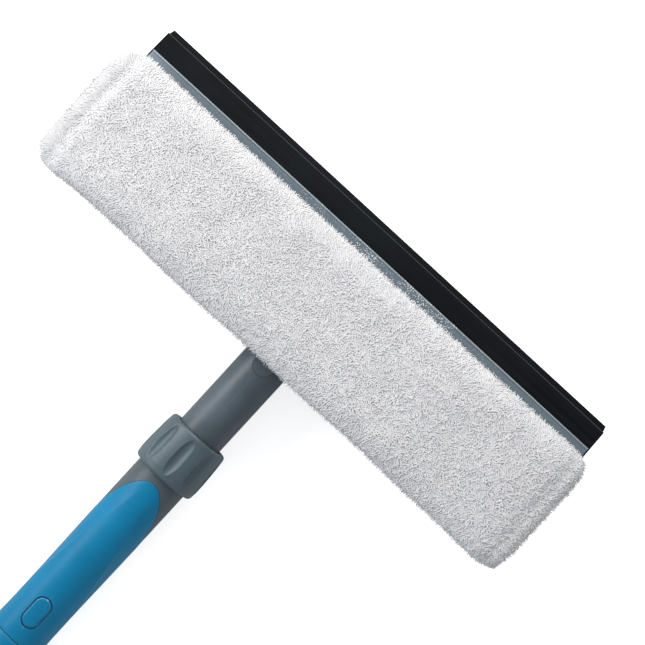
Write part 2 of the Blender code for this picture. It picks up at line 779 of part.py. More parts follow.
def pad_pocket(head, name, side):
    """Fleece pocket that slips over one end of the carrier."""
    outer = PAD_HALF_LENGTH - 0.5
    wall = PLATE_HALF_LENGTH + 0.4
    front = PAD_Z[0] - GAP
    y_range = (PAD_Y[0] + 0.5, 211.5)

    def sided(low, high):
        return (low, high) if side > 0 else (-high, -low)

    back = box(sided(POCKET_X, outer), y_range, (POCKET_BACK_Z, PLATE_Z[0] - GAP))
    piece = make_object(name, back, "white_fleece", head)
    join(piece, box(sided(wall, outer), y_range, (POCKET_BACK_Z + 1.0, front)), "end_wall")
    fold = box(sided(POCKET_X, outer), (y_range[0], PLATE_Y - 0.4), (POCKET_BACK_Z + 1.0, front))
    join(piece, fold, "lower_fold")


def tilt_hardware(pivot):
    """Pin, push nut and friction washers on the tilt axis, along X."""
    axis_turn = Matrix.Rotation(-math.pi / 2, 3, "Z")
    head_x = -CHEEK_X[1] - GAP
    pin = turned(
        [(0.0, head_x - 2.0), (3.9, head_x - 2.0), (4.8, head_x - 1.2), (4.8, head_x)]
        + [(PIN_R, head_x), (PIN_R, 15.6), (PIN_R - 0.6, 16.2), (0.0, 16.2)],
        24,
        False,
    )
    bmesh.ops.rotate(pin, verts=pin.verts, matrix=axis_turn)
    make_object("swivel_pin", pin, "steel", pivot)

    nut_x = CHEEK_X[1] + GAP
    nut = tube(PIN_R + GAP, 5.4, nut_x, nut_x + 1.6, 24)
    bmesh.ops.rotate(nut, verts=nut.verts, matrix=axis_turn)
    make_object("pin_push_nut", nut, "steel", pivot)

    washer_x = EYE_HALF_WIDTH + GAP
    for name, low in (("friction_washer_right", washer_x), ("friction_washer_left", -washer_x - 1.0)):
        washer = tube(PIN_R + GAP, 7.4, low, low + 1.0, 24)
        bmesh.ops.rotate(washer, verts=washer.verts, matrix=axis_turn)
        make_object(name, washer, "white_plastic", pivot)


# ---------------------------------------------------------------- assembly


def build_handle():
    pole = frame_empty("handle_axis", (0.0, 0.0, POLE_Z))
    outer_tube(pole)
    handle_ferrule(pole)
    upper_grip(pole)
    lower_grip(pole)
    button_seat(pole)
    clamp_collet(pole)
    end_cap(pole)
    headed_screw("end_cap_screw", 1.25, 2.6, 5.2, 1.5, (0.0, CAP_SCREW_Y, -14.3), pole)
    spring_z = (28.95 - POLE_Z, 31.8 - POLE_Z)
    coil("lock_spring", LOCK_SPRING_R, 0.22, 3, *spring_z, (0.0, LOCK_Y), "steel", pole)
    twist_collar(frame_empty("collar_axis", (0.0, 0.0, POLE_Z)))
    lock_button(frame_empty("lock_button_axis", (0.0, 0.0, POLE_Z)))


def build_neck():
    neck = frame_empty("neck_axis", (0.0, 0.0, POLE_Z))
    inner_tube(neck)
    tube_end_bush(neck)
    neck_sleeve(neck)
    swivel_knuckle(neck)
    headed_screw("neck_screw", 1.25, 2.7, 4.4, 1.2, (0.0, NECK_SCREW_Y, -11.1), neck)
    spring_z = (19.1 - POLE_Z, RELEASE_LOW_Z - GAP - POLE_Z)
    coil("release_spring", RELEASE_SPRING_R, 0.3, 4, *spring_z, (0.0, RELEASE_Y), "steel", neck)
    head_release_button(frame_empty("release_button_axis", (0.0, 0.0, POLE_Z)))


def build_head():
    head = frame_empty("head_axis", (0.0, 0.0, 0.0))
    blade = frame_empty("blade_axis", (0.0, *BLADE_LINE), LEAN_DEG)
    pivot = frame_empty("pivot_axis", (0.0, PIVOT_Y, POLE_Z))
    carrier_frame(head)
    hook_strips(head)
    blade_rail_front(blade)
    blade_rail_back(blade)
    rubber_blade(blade)
    rail_screws(blade)
    washer_pad(head)
    pad_core(head)
    pad_pocket(head, "pad_pocket_right", 1)
    pad_pocket(head, "pad_pocket_left", -1)
    tilt_hardware(pivot)


clear_scene()
build_handle()
build_neck()
build_head()
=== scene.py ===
import math

import bmesh
import bpy
import numpy as np
from mathutils import Matrix, Vector, noise


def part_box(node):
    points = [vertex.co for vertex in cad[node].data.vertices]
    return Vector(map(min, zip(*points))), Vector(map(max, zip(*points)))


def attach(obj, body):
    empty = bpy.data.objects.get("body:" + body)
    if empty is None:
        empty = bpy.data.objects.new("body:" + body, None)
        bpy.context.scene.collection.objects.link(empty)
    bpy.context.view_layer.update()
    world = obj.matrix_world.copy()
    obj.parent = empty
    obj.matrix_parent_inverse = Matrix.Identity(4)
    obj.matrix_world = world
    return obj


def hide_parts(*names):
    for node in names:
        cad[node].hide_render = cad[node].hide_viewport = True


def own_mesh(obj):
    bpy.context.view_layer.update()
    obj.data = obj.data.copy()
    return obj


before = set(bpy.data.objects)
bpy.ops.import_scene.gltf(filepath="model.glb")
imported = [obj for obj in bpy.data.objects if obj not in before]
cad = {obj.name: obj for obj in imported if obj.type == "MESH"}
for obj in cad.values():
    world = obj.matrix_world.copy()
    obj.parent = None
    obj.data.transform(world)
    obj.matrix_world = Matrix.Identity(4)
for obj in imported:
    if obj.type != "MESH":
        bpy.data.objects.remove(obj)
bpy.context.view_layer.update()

# ============================================================================
# Studio: the tool lies on a white paper sweep, under a wide soft box low at
# its left and a second one beyond the blade, seen from straight above.
# ============================================================================

BOX_WHITE = (1.0, 0.99, 0.975)
WORLD_STRENGTH = 0.45
PAPER_GLOW = 0.70
SWEEP_SIZE = 30.0
scene = bpy.context.scene
scene.view_settings.view_transform = "Standard"
shot = bpy.data.cameras.new("camera")
shot.sensor_width = 36.0
shot.lens = 104.2
shot.clip_start = 0.01
camera = bpy.data.objects.new("camera", shot)
camera.location = (0.0070, 0.1915, 0.969)
camera.rotation_euler = (0.0, 0.0, math.radians(42.6))
scene.collection.objects.link(camera)
scene.camera = camera


def soft_box(name, location, target, size, watts):
    """A rectangular diffuser at location, facing target."""
    data = bpy.data.lights.new(name, "AREA")
    data.shape = "RECTANGLE"
    data.size, data.size_y = size
    data.energy = watts
    data.color = BOX_WHITE
    box = bpy.data.objects.new(name, data)
    box.location = location
    aim = Vector(target) - Vector(location)
    box.rotation_euler = aim.to_track_quat("-Z", "Y").to_euler()
    scene.collection.objects.link(box)


soft_box("key_box", (-1.05, 0.22, 0.66), target=(0.0, 0.12, 0.02), size=(1.0, 0.60), watts=10.1)
soft_box("far_box", (-0.45, 1.20, 0.70), target=(0.0, 0.12, 0.03), size=(1.1, 0.6), watts=9.0)
world = bpy.data.worlds.new("studio")
scene.world = world
world.use_nodes = True
sky = world.node_tree.nodes["Background"]
sky.inputs["Color"].default_value = (0.95, 0.97, 1.0, 1.0)
sky.inputs["Strength"].default_value = WORLD_STRENGTH


def start_material(name, roughness, metallic=0.0):
    """A material with its shader, and Object coordinates to pattern it with."""
    made = bpy.data.materials.new(name)
    made.use_nodes = True
    tree = made.node_tree
    shader = tree.nodes["Principled BSDF"]
    shader.inputs["Roughness"].default_value = roughness
    shader.inputs["Metallic"].default_value = metallic
    place = tree.nodes.new("ShaderNodeTexCoord")
    return made, tree, shader, place.outputs["Object"]


def put(tree, value, socket):
    """Links another node's output to a socket, or sets a plain value on it."""
    if isinstance(value, bpy.types.NodeSocket):
        tree.links.new(value, socket)
    else:
        socket.default_value = value


def drop(tree, kind, **values):
    """Adds a node, with its properties and then its sockets set by name."""
    node = tree.nodes.new(kind)
    sockets = {}
    for label, value in values.items():
        if hasattr(node, label):
            setattr(node, label, value)
        else:
            sockets[label.replace("_", " ")] = value
    for label, value in sockets.items():
        put(tree, value, node.inputs[label])
    return node


def noise_at(tree, vector, scale, **values):
    """A noise pattern's 0 to 1 value on coordinates."""
    return drop(tree, "ShaderNodeTexNoise", Vector=vector, Scale=scale, **values).outputs["Fac"]


def maths(tree, operation, *values, clamp=False):
    """A math node on sockets or plain numbers, giving its value."""
    node = drop(tree, "ShaderNodeMath", operation=operation, use_clamp=clamp)
    for socket, value in zip(node.inputs, values):
        put(tree, value, socket)
    return node.outputs["Value"]


def spread(tree, source, low, high, source_low=0.0, source_high=1.0):
    """Maps a pattern's values, from source_low to source_high, onto low to high."""
    node = drop(
        tree,
        "ShaderNodeMapRange",
        Value=source,
        From_Min=source_low,
        From_Max=source_high,
        To_Min=low,
        To_Max=high,
    )
    return node.outputs["Result"]


def paper_finish():
    """White paper with a faint tooth, bright enough for the camera to burn out."""
    made, tree, shader, place = start_material("white_paper", 0.85)
    shader.inputs["Base Color"].default_value = (0.90, 0.90, 0.90, 1.0)
    shader.inputs["Emission Color"].default_value = (1.0, 1.0, 1.0, 1.0)
    tooth = spread(tree, noise_at(tree, place, 350.0), 0.80, 0.92)
    ray = tree.nodes.new("ShaderNodeLightPath")
    glow = maths(tree, "MULTIPLY", ray.outputs["Is Camera Ray"], PAPER_GLOW)
    tree.links.new(tooth, shader.inputs["Roughness"])
    tree.links.new(glow, shader.inputs["Emission Strength"])
    return made


sweep_bm = bmesh.new()
bmesh.ops.create_grid(sweep_bm, x_segments=2, y_segments=2, size=SWEEP_SIZE)
sweep_mesh = bpy.data.meshes.new("paper_sweep")
sweep_bm.to_mesh(sweep_mesh)
sweep_bm.free()
sweep_mesh.materials.append(paper_finish())
sweep = bpy.data.objects.new("paper_sweep", sweep_mesh)
scene.collection.objects.link(sweep)

# ============================================================================
# Outer tube and what it hides: drawn aluminium tube, a stamped steel seat for
# the lock button's spring, and a split nylon collet ring under the collar.
# ============================================================================

AXIS_Z = 0.0185


def new_group(name, inputs, output_names):
    """A shader node group with a Vector and number inputs, and number outputs."""
    group = bpy.data.node_groups.new(name, "ShaderNodeTree")
    group.interface.new_socket(name="Vector", in_out="INPUT", socket_type="NodeSocketVector")
    for label, start in inputs.items():
        socket = group.interface.new_socket(name=label, in_out="INPUT", socket_type="NodeSocketFloat")
        socket.default_value = start
    for label in output_names:
        group.interface.new_socket(name=label, in_out="OUTPUT", socket_type="NodeSocketFloat")
    given = group.nodes.new("NodeGroupInput").outputs
    wanted = group.nodes.new("NodeGroupOutput").inputs
    return group, given, wanted


def moulding_grain_group():
    """Fine spark-eroded grain of a mould, and the slow mottle of the plastic."""
    sizes = {"Scale": 2600.0, "Mottle Scale": 60.0}
    group, given, wanted = new_group("moulding_grain", sizes, ["Grain", "Mottle"])
    fine = noise_at(group, given["Vector"], given["Scale"], Detail=3.0, Roughness=0.6)
    pits = drop(group, "ShaderNodeTexVoronoi", Vector=given["Vector"], Scale=given["Scale"])
    slow = noise_at(group, given["Vector"], given["Mottle Scale"], Detail=3.0, Roughness=0.55)
    grain = maths(group, "MULTIPLY_ADD", pits.outputs["Distance"], 0.45, fine)
    group.links.new(grain, wanted["Grain"])
    group.links.new(slow, wanted["Mottle"])
    return group


def edge_wear_and_highlight_group():
    """Where an outer edge has been rubbed pale, broken up by a noise; at a high reach, a painted rim
    highlight.
    """
    group, given, wanted = new_group("edge_wear_and_highlight", {"Reach": 0.5, "Scale": 900.0}, ["Mask"])
    shape = group.nodes.new("ShaderNodeNewGeometry")
    ridge = spread(group, shape.outputs["Pointiness"], 0.0, 1.0, 0.515, 0.60)
    speck = noise_at(group, given["Vector"], given["Scale"], Detail=4.0)
    gated = maths(group, "MULTIPLY", ridge, speck)
    amount = maths(group, "MULTIPLY", gated, given["Reach"], clamp=True)
    group.links.new(amount, wanted["Mask"])
    return group


def drawn_lines_group():
    """Long fine lines left along Y by a drawing die or an extrusion die."""
    group, given, wanted = new_group("drawn_lines", {"Across": 1800.0, "Along": 6.0}, ["Lines"])
    split = drop(group, "ShaderNodeSeparateXYZ", Vector=given["Vector"])
    stretched = group.nodes.new("ShaderNodeCombineXYZ")
    for axis, label in (("X", "Across"), ("Y", "Along"), ("Z", "Across")):
        scaled = maths(group, "MULTIPLY", split.outputs[axis], given[label])
        group.links.new(scaled, stretched.inputs[axis])
    lines = noise_at(group, stretched.outputs["Vector"], 1.0, Detail=3.0)
    group.links.new(lines, wanted["Lines"])
    return group


MOULDING_GRAIN = moulding_grain_group()
EDGE_WEAR_AND_HIGHLIGHT = edge_wear_and_highlight_group()
DRAWN_LINES = drawn_lines_group()


def place_group(tree, group, vector, **values):
    """A shared pattern placed in a material with its own values."""
    return drop(tree, "ShaderNodeGroup", node_tree=group, Vector=vector, **values)


def blend_colours(tree, factor, low, high):
    """Mixes two colours, each a tuple or another node's colour, by a mask."""
    node = tree.nodes.new("ShaderNodeMix")
    node.data_type = "RGBA"
    tree.links.new(factor, node.inputs["Factor"])
    for label, colour in (("A", low), ("B", high)):
        if isinstance(colour, tuple):
            node.inputs[label].default_value = (*colour, 1.0)
        else:
            tree.links.new(colour, node.inputs[label])
    return node.outputs["Result"]


def raise_bump(tree, shader, height, distance, strength=1.0):
    """Lets a pattern stand up from the surface by a distance in metres."""
    node = drop(tree, "ShaderNodeBump", Height=height, Distance=distance, Strength=strength)
    tree.links.new(node.outputs["Normal"], shader.inputs["Normal"])


def drawn_metal(name, colour, dull, roughness, across):
    """Metal with fine draw lines in its colour, gloss and surface."""
    made, tree, shader, place = start_material(name, roughness, 1.0)
    lines = place_group(tree, DRAWN_LINES, place, Across=across).outputs["Lines"]
    tone = blend_colours(tree, spread(tree, lines, 0.0, 1.0, 0.3, 0.7), dull, colour)
    gloss = spread(tree, lines, roughness - 0.08, roughness + 0.12, 0.25, 0.75)
    tree.links.new(tone, shader.inputs["Base Color"])
    tree.links.new(gloss, shader.inputs["Roughness"])
    raise_bump(tree, shader, lines, 0.00001)
    return made


def moulded_plastic(name, colour, shade, worn, roughness, reach=0.5):
    """Injection moulding: grain, a slow mottle in colour and gloss, rubbed edges."""
    made, tree, shader, place = start_material(name, roughness)
    skin = place_group(tree, MOULDING_GRAIN, place, Scale=2600.0)
    wear = place_group(tree, EDGE_WEAR_AND_HIGHLIGHT, place, Reach=reach)
    mottle = spread(tree, skin.outputs["Mottle"], 0.0, 1.0, 0.35, 0.65)
    tone = blend_colours(tree, mottle, shade, colour)
    rubbed = blend_colours(tree, wear.outputs["Mask"], tone, worn)
    gloss = spread(tree, skin.outputs["Mottle"], roughness - 0.04, roughness + 0.04, 0.3, 0.7)
    tree.links.new(rubbed, shader.inputs["Base Color"])
    tree.links.new(gloss, shader.inputs["Roughness"])
    raise_bump(tree, shader, skin.outputs["Grain"], 0.000025)
    return made


def finish_node(made, *names):
    """Gives carried-over CAD nodes a finished material."""
    for name in names:
        mesh = cad[name].data
        mesh.materials.clear()
        mesh.materials.append(made)


ALUMINIUM = drawn_metal(
    "aluminium",
    colour=(0.68, 0.69, 0.70),
    dull=(0.50, 0.51, 0.53),
    roughness=0.30,
    across=1800.0,
)
STEEL = drawn_metal(
    "steel",
    colour=(0.60, 0.61, 0.62),
    dull=(0.40, 0.41, 0.42),
    roughness=0.24,
    across=2600.0,
)
WHITE_PLASTIC = moulded_plastic(
    "white_plastic",
    colour=(0.74, 0.74, 0.71),
    shade=(0.66, 0.66, 0.62),
    worn=(0.80, 0.80, 0.78),
    roughness=0.42,
)
finish_node(ALUMINIUM, "outer_tube")
finish_node(STEEL, "button_seat")
finish_node(WHITE_PLASTIC, "clamp_collet")

# ============================================================================
# Handle ferrule: grey glass-filled nylon sleeve at the top of the handle, cut
# on a slant where the soft grip is moulded against it.
# ============================================================================

GRIP_R = 0.015
TONGUE_TIP_Y = 0.0745
TONGUE_HEEL_Y = 0.012
FERRULE_TOP_Y = 0.0875
SLANT_GAP = 0.00012
FERRULE_R = 0.01490
FERRULE_BORE_R = 0.0125


def rounded_line(corners, steps=4):
    """A line through (a, b, radius) corners, with each corner rounded off."""
    line = []
    for index, (a, b, radius) in enumerate(corners):
        here = Vector((a, b))
        before = Vector(corners[index - 1][:2]) - here
        after = Vector(corners[(index + 1) % len(corners)][:2]) - here
        if radius <= 0.0 or before.length < 1e-9 or after.length < 1e-9:
            line.append((a, b))
            continue
        reach = radius / math.tan(0.5 * before.angle(after))
        reach = min(reach, 0.48 * before.length, 0.48 * after.length)
        first = here + before.normalized() * reach
        last = here + after.normalized() * reach
        for step in range(steps + 1):
            t = step / steps
            point = first * (1 - t) ** 2 + here * (2 * t * (1 - t)) + last * t ** 2
            line.append((point.x, point.y))
    return line


def turned(outline, sides=96, closed=True):
    """Spins an outline of (radius, y) points round the pole's axis."""
    bm = bmesh.new()
    rim = [bm.verts.new((radius, y, 0.0)) for radius, y in outline]
    edges = [bm.edges.new(pair) for pair in zip(rim, rim[1:])]
    if closed:
        edges.append(bm.edges.new((rim[-1], rim[0])))
    bmesh.ops.spin(
        bm,
        geom=rim + edges,
        cent=(0.0, 0.0, 0.0),
        axis=(0.0, 1.0, 0.0),
        angle=math.tau,
        steps=sides,
        use_merge=True,
    )
    bmesh.ops.remove_doubles(bm, verts=bm.verts, dist=1e-7)
    bmesh.ops.recalc_face_normals(bm, faces=bm.faces)
    bmesh.ops.translate(bm, vec=(0.0, 0.0, AXIS_Z), verts=bm.verts)
    return bm


def new_piece(name, shape, body, made, replaced=(), sharp=32.0):
    """Makes a piece from a bmesh, shades it, and fixes it to its body."""
    mesh = bpy.data.meshes.new(name)
    shape.to_mesh(mesh)
    shape.free()
    mesh.materials.append(made)
    mesh.shade_smooth()
    if sharp:
        mesh.set_sharp_from_angle(angle=math.radians(sharp))
    piece = bpy.data.objects.new(name, mesh)
    scene.collection.objects.link(piece)
    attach(piece, body)
    if replaced:
        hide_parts(*replaced)
    return piece


def bake_modifiers(piece, sharp=32.0):
    """Keeps what a piece's modifiers make as its own mesh."""
    graph = bpy.context.evaluated_depsgraph_get()
    mesh = bpy.data.meshes.new_from_object(piece.evaluated_get(graph))
    piece.modifiers.clear()
    old = piece.data
    piece.data = mesh
    mesh.name = old.name
    bpy.data.meshes.remove(old)
    mesh.shade_smooth()
    if sharp:
        mesh.set_sharp_from_angle(angle=math.radians(sharp))


def carve(piece, cutter_bm, sharp=32.0):
    """Cuts a closed shape out of a piece."""
    mesh = bpy.data.meshes.new("cutter")
    cutter_bm.to_mesh(mesh)
    cutter_bm.free()
    cutter = bpy.data.objects.new("cutter", mesh)
    scene.collection.objects.link(cutter)
    hole = piece.modifiers.new("hole", "BOOLEAN")
    hole.object = cutter
    hole.operation = "DIFFERENCE"
    hole.solver = "EXACT"
    bake_modifiers(piece, sharp)
    bpy.data.objects.remove(cutter)
    bpy.data.meshes.remove(mesh)


def out_from_axis(point):
    """Distance of a point from the pole's axis."""
    return math.hypot(point.x, point.z - AXIS_Z)


def long_walls(bm, least):
    """The edges of a turned piece that run along the pole for at least this far."""
    return [e for e in bm.edges if abs(e.verts[0].co.y - e.verts[1].co.y) > least]


def around(point):
    """Angle of a point from the front of the pole, 0 facing +Z."""
    return math.atan2(point.x, point.z - AXIS_Z)


def slant_y(angle):
    """Height of the slanted joint between ferrule and grip at an angle."""
    return TONGUE_TIP_Y - 0.5 * (TONGUE_TIP_Y - TONGUE_HEEL_Y) * (1.0 - math.cos(angle))


GREY_PLASTIC = moulded_plastic(
    "grey_plastic",
    colour=(0.068, 0.088, 0.104),
    shade=(0.056, 0.074, 0.088),
    worn=(0.17, 0.20, 0.22),
    roughness=0.40,
    reach=0.35,
)
FERRULE_GREY = moulded_plastic(
    "ferrule_grey",
    colour=(0.074, 0.104, 0.126),
    shade=(0.066, 0.090, 0.107),
    worn=(0.18, 0.20, 0.22),
    roughness=0.46,
    reach=0.3,
)
ferrule_line = rounded_line([
    (FERRULE_BORE_R, 0.0, 0.0),
    (FERRULE_R, 0.0, 0.0003),
    (FERRULE_R, 0.060, 0.0),
    (FERRULE_R, FERRULE_TOP_Y, 0.0003),
    (FERRULE_BORE_R, FERRULE_TOP_Y, 0.0),
])
ferrule_bm = turned(ferrule_line)
bmesh.ops.subdivide_edges(ferrule_bm, edges=long_walls(ferrule_bm, 0.02), cuts=6, use_grid_fill=True)
for vert in ferrule_bm.verts:
    share = (FERRULE_TOP_Y - vert.co.y) / FERRULE_TOP_Y
    foot = slant_y(around(vert.co)) + SLANT_GAP
    vert.co.y = FERRULE_TOP_Y - share * (FERRULE_TOP_Y - foot)
new_piece("ferrule_sleeve", ferrule_bm, "handle", FERRULE_GREY, ["handle_ferrule"])

# ============================================================================
# Soft grips: blue thermoplastic rubber moulded over the tube, with two raised
# creases spreading from the tongue and a hole for the lock button.
# ============================================================================

GRIP_BORE_R = 0.0122
SEAM_Y = -0.0308
END_CAP_Y = -0.210
LOCK_Y = -0.0126
LOCK_HOLE = (0.00525, 0.0095)
CREASE = (
    (0.0745, 0.0015),
    (0.058, 0.0052),
    (0.040, 0.0086),
    (0.028, 0.0104),
    (0.001, 0.0138),
    (-0.031, 0.0148),
)


def ease(edge0, edge1, value):
    """0 below edge0, 1 above edge1, smooth between them."""
    share = np.clip((value - edge0) / (edge1 - edge0), 0.0, 1.0)
    return share * share * (3.0 - 2.0 * share)


def push_out(vert, change):
    """Moves a point out from the pole's axis, or in where change is negative."""
    radius = out_from_axis(vert.co)
    scale = (radius + change) / radius
    vert.co.x *= scale
    vert.co.z = AXIS_Z + (vert.co.z - AXIS_Z) * scale


def crease_angle(y):
    """Angle of the crease from the front, at a height on the grip."""
    heights = [-place for place, half in CREASE]
    halves = [half for place, half in CREASE]
    return math.asin(float(np.interp(-y, heights, halves)) / GRIP_R)


def obround_block(half_width, half_length, centre_y, z_low, z_high, sides=24):
    """A closed block with a round-ended outline in plan."""
    bm = bmesh.new()
    bmesh.ops.create_circle(bm, cap_ends=True, segments=2 * sides, radius=half_width)
    stretch = half_length - half_width
    for vert in bm.verts:
        vert.co.y += centre_y + math.copysign(stretch, vert.co.y)
        vert.co.z = z_low
    lifted = bmesh.ops.extrude_face_region(bm, geom=list(bm.faces), use_keep_orig=True)
    tops = [item for item in lifted["geom"] if isinstance(item, bmesh.types.BMVert)]
    bmesh.ops.translate(bm, vec=(0.0, 0.0, z_high - z_low), verts=tops)
    bmesh.ops.recalc_face_normals(bm, faces=bm.faces)
    return bm


def soft_blue(name, reach):
    """Soft-touch blue rubber: velvety skin, faint rub marks, paler worn edges, a painted highlight at a high
    reach.
    """
    made, tree, shader, place = start_material(name, 0.40)
    skin = place_group(tree, MOULDING_GRAIN, place, Scale=3200.0, Mottle_Scale=34.0)
    wear = place_group(tree, EDGE_WEAR_AND_HIGHLIGHT, place, Reach=reach)
    mottle = spread(tree, skin.outputs["Mottle"], 0.0, 1.0, 0.3, 0.7)
    body = blend_colours(tree, mottle, (0.0, 0.180, 0.355), (0.0, 0.210, 0.410))
    tone = blend_colours(tree, wear.outputs["Mask"], body, (0.16, 0.46, 0.72))
    tree.links.new(tone, shader.inputs["Base Color"])
    gloss = spread(tree, skin.outputs["Mottle"], 0.36, 0.46, 0.3, 0.7)
    tree.links.new(gloss, shader.inputs["Roughness"])
    raise_bump(tree, shader, skin.outputs["Grain"], 0.000018)
    shader.inputs["Specular IOR Level"].default_value = 0.26
    return made


BLUE_GRIP = soft_blue("blue_grip", 0.30)
grip_line = rounded_line([
    (GRIP_BORE_R, SEAM_Y, 0.0),
    (GRIP_R, SEAM_Y, 0.0004),
    (GRIP_R, 0.020, 0.0),
    (GRIP_R, TONGUE_TIP_Y, 0.0005),
    (GRIP_BORE_R, TONGUE_TIP_Y, 0.0),
])
grip_bm = turned(grip_line, 160)
bmesh.ops.subdivide_edges(grip_bm, edges=long_walls(grip_bm, 0.02), cuts=26, use_grid_fill=True)
for vert in grip_bm.verts:
    angle = around(vert.co)
    share = (vert.co.y - SEAM_Y) / (TONGUE_TIP_Y - SEAM_Y)
    vert.co.y = SEAM_Y + share * (slant_y(angle) - SEAM_Y)
    if out_from_axis(vert.co) > 0.0140:
        beyond = abs(angle) - crease_angle(vert.co.y)
        hollow = ease(0.0, 0.20, beyond) * (1.0 - ease(0.30, 1.1, beyond))
        ridge = math.exp(-(beyond / 0.055) ** 2)
        fade = ease(TONGUE_TIP_Y, 0.045, vert.co.y)
        push_out(vert, fade * (0.00010 * ridge - 0.00038 * hollow))
grip_bm.normal_update()
upper = new_piece("upper_soft_grip", grip_bm, "handle", BLUE_GRIP, ["upper_grip"])
carve(upper, obround_block(*LOCK_HOLE, LOCK_Y, 0.028, 0.040))

# The lower grip has three shallow waists along it.
SEAM_GAP = 0.0003
WAIST_STEPS = 72
WAIST_DIP = 0.0009
WAIST_WAVES = 3
waist_line = [(GRIP_BORE_R, END_CAP_Y + SEAM_GAP), (GRIP_R - 0.0003, END_CAP_Y + SEAM_GAP)]
waist_span = SEAM_Y - SEAM_GAP - END_CAP_Y
for step in range(1, WAIST_STEPS):
    share = step / WAIST_STEPS
    wave = 0.5 - 0.5 * math.cos(math.tau * WAIST_WAVES * share)
    dip = WAIST_DIP * wave * math.sin(math.pi * share)
    waist_line.append((GRIP_R - dip, END_CAP_Y + SEAM_GAP + waist_span * share))
waist_line += [
    (GRIP_R - 0.00005, SEAM_Y - 0.0007),
    (GRIP_R - 0.00035, SEAM_Y - SEAM_GAP),
    (GRIP_BORE_R, SEAM_Y - SEAM_GAP),
]
lower_bm = turned(waist_line, 128)
new_piece("lower_soft_grip", lower_bm, "handle", BLUE_GRIP, ["lower_grip"])

# ============================================================================
# Lock button: an oval blue button on a light coil spring, crowned to the grip,
# which pins the inner tube through its keyway. Its rim is rounded.
# ============================================================================

BUTTON_GAP = 0.00080
BUTTON_BASE_Z = 0.0304
BUTTON_TOP_Z = 0.0335
BUTTON_FLANGE = (0.0055, 0.00975)


def round_edges(bm, edges, offset, segments):
    """Rounds edges of a moulding or an extrusion over."""
    bmesh.ops.bevel(
        bm,
        geom=edges,
        offset=offset,
        segments=segments,
        profile=0.5,
        affect="EDGES",
        material=-1,
    )


def pressed_coil(node, body):
    """A coil spring carried over from its CAD shape in steel, on a mesh of its own."""
    coil_bm = bmesh.new()
    coil_bm.from_mesh(cad[node].data)
    coil = new_piece(f"{node}_coil", coil_bm, body, STEEL, [node], 50.0)
    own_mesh(coil)


button_w = LOCK_HOLE[0] - BUTTON_GAP
button_l = LOCK_HOLE[1] - BUTTON_GAP
lock_bm = obround_block(button_w, button_l, LOCK_Y, BUTTON_BASE_Z, BUTTON_TOP_Z, 32)
rim = [e for e in lock_bm.edges if all(v.co.z > 0.0330 for v in e.verts)]
round_edges(lock_bm, rim, 0.0009, 5)
crown_faces = [f for f in lock_bm.faces if f.normal.z > 0.99 and len(f.verts) > 8]
for ring in (0.0008, 0.0010, 0.0010):
    bmesh.ops.inset_region(lock_bm, faces=crown_faces, thickness=ring, depth=0.0)
for vert in lock_bm.verts:
    if vert.co.z > 0.0318:
        edge = math.sqrt(GRIP_R ** 2 - vert.co.x ** 2) - GRIP_R
        vert.co.z += 0.62 * edge + 0.00018
lock_bm.normal_update()
flange = obround_block(*BUTTON_FLANGE, LOCK_Y, BUTTON_BASE_Z, 0.0310, 16)
flange_mesh = bpy.data.meshes.new("flange")
flange.to_mesh(flange_mesh)
lock_bm.from_mesh(flange_mesh)
flange.free()
bpy.data.meshes.remove(flange_mesh)
pressed_coil("lock_spring", "handle")
# The button's high edge reach paints a pale highlight round its rim, over its wear.
new_piece("lock_push_button", lock_bm, "lock_button", soft_blue("blue_button_rim_highlight", 1.6), ["lock_button"], 50.0)

# ============================================================================
# End cap: a rounded grey moulding that closes the handle, flattened front and
# back, with an eye to hang the tool by and one screw in its back.
# ============================================================================

HANG_HOLE_Y = -0.2365
CAP_SCREW_Y = -0.2195
CAP_FLAT = 0.0165


def drill(piece, sides, radius, depth, y, z):
    """Drills a round hole into a piece, from its front to its back."""
    bit = bmesh.new()
    bmesh.ops.create_cone(
        bit,
        cap_ends=True,
        segments=sides,
        radius1=radius,
        radius2=radius,
        depth=depth,
        matrix=Matrix.Translation((0.0, y, z)),
    )
    carve(piece, bit, 28.0)


def ease_corners(piece, width, angle, sharp=32.0):
    """Eases every edge of a piece that is sharper than angle."""
    corners = piece.modifiers.new("corners", "BEVEL")
    corners.width = width
    corners.segments = 2
    corners.limit_method = "ANGLE"
    corners.angle_limit = math.radians(angle)
    bake_modifiers(piece, sharp)


cap_line = rounded_line([
    (0.0, -0.2500, 0.0),
    (0.0150, -0.2500, 0.0020),
    (0.0190, -0.2470, 0.0030),
    (0.0201, -0.2400, 0.0060),
    (0.0201, -0.2250, 0.0060),
    (0.0170, -0.2170, 0.0060),
    (0.0150, -0.2120, 0.0020),
    (0.0150, -0.2100, 0.0003),
    (0.0120, -0.2100, 0.0),
    (0.0120, -0.2200, 0.0),
    (0.0, -0.2200, 0.0),
], 6)
cap_bm = turned(cap_line, 96, False)
for vert in cap_bm.verts:
    lift = vert.co.z - AXIS_Z
    if abs(lift) > CAP_FLAT and vert.co.y < -0.211:
        lift = math.copysign(CAP_FLAT + 0.002 * math.tanh((abs(lift) - CAP_FLAT) / 0.0024), lift)
    vert.co.z = AXIS_Z + lift
cap_bm.normal_update()
end_cap = new_piece("end_cap_moulding", cap_bm, "handle", GREY_PLASTIC, ["end_cap"])
drill(end_cap, sides=48, radius=0.0055, depth=0.06, y=HANG_HOLE_Y, z=AXIS_Z)
drill(end_cap, sides=32, radius=0.0030, depth=0.006, y=CAP_SCREW_Y, z=0.0022)
ease_corners(end_cap, width=0.0005, angle=50.0, sharp=28.0)
finish_node(STEEL, "end_cap_screw")

# ============================================================================
# Twist collar: a barrel-shaped grey moulding with nine finger recesses, which
# squeezes the collet onto the inner tube when it is turned.
# ============================================================================

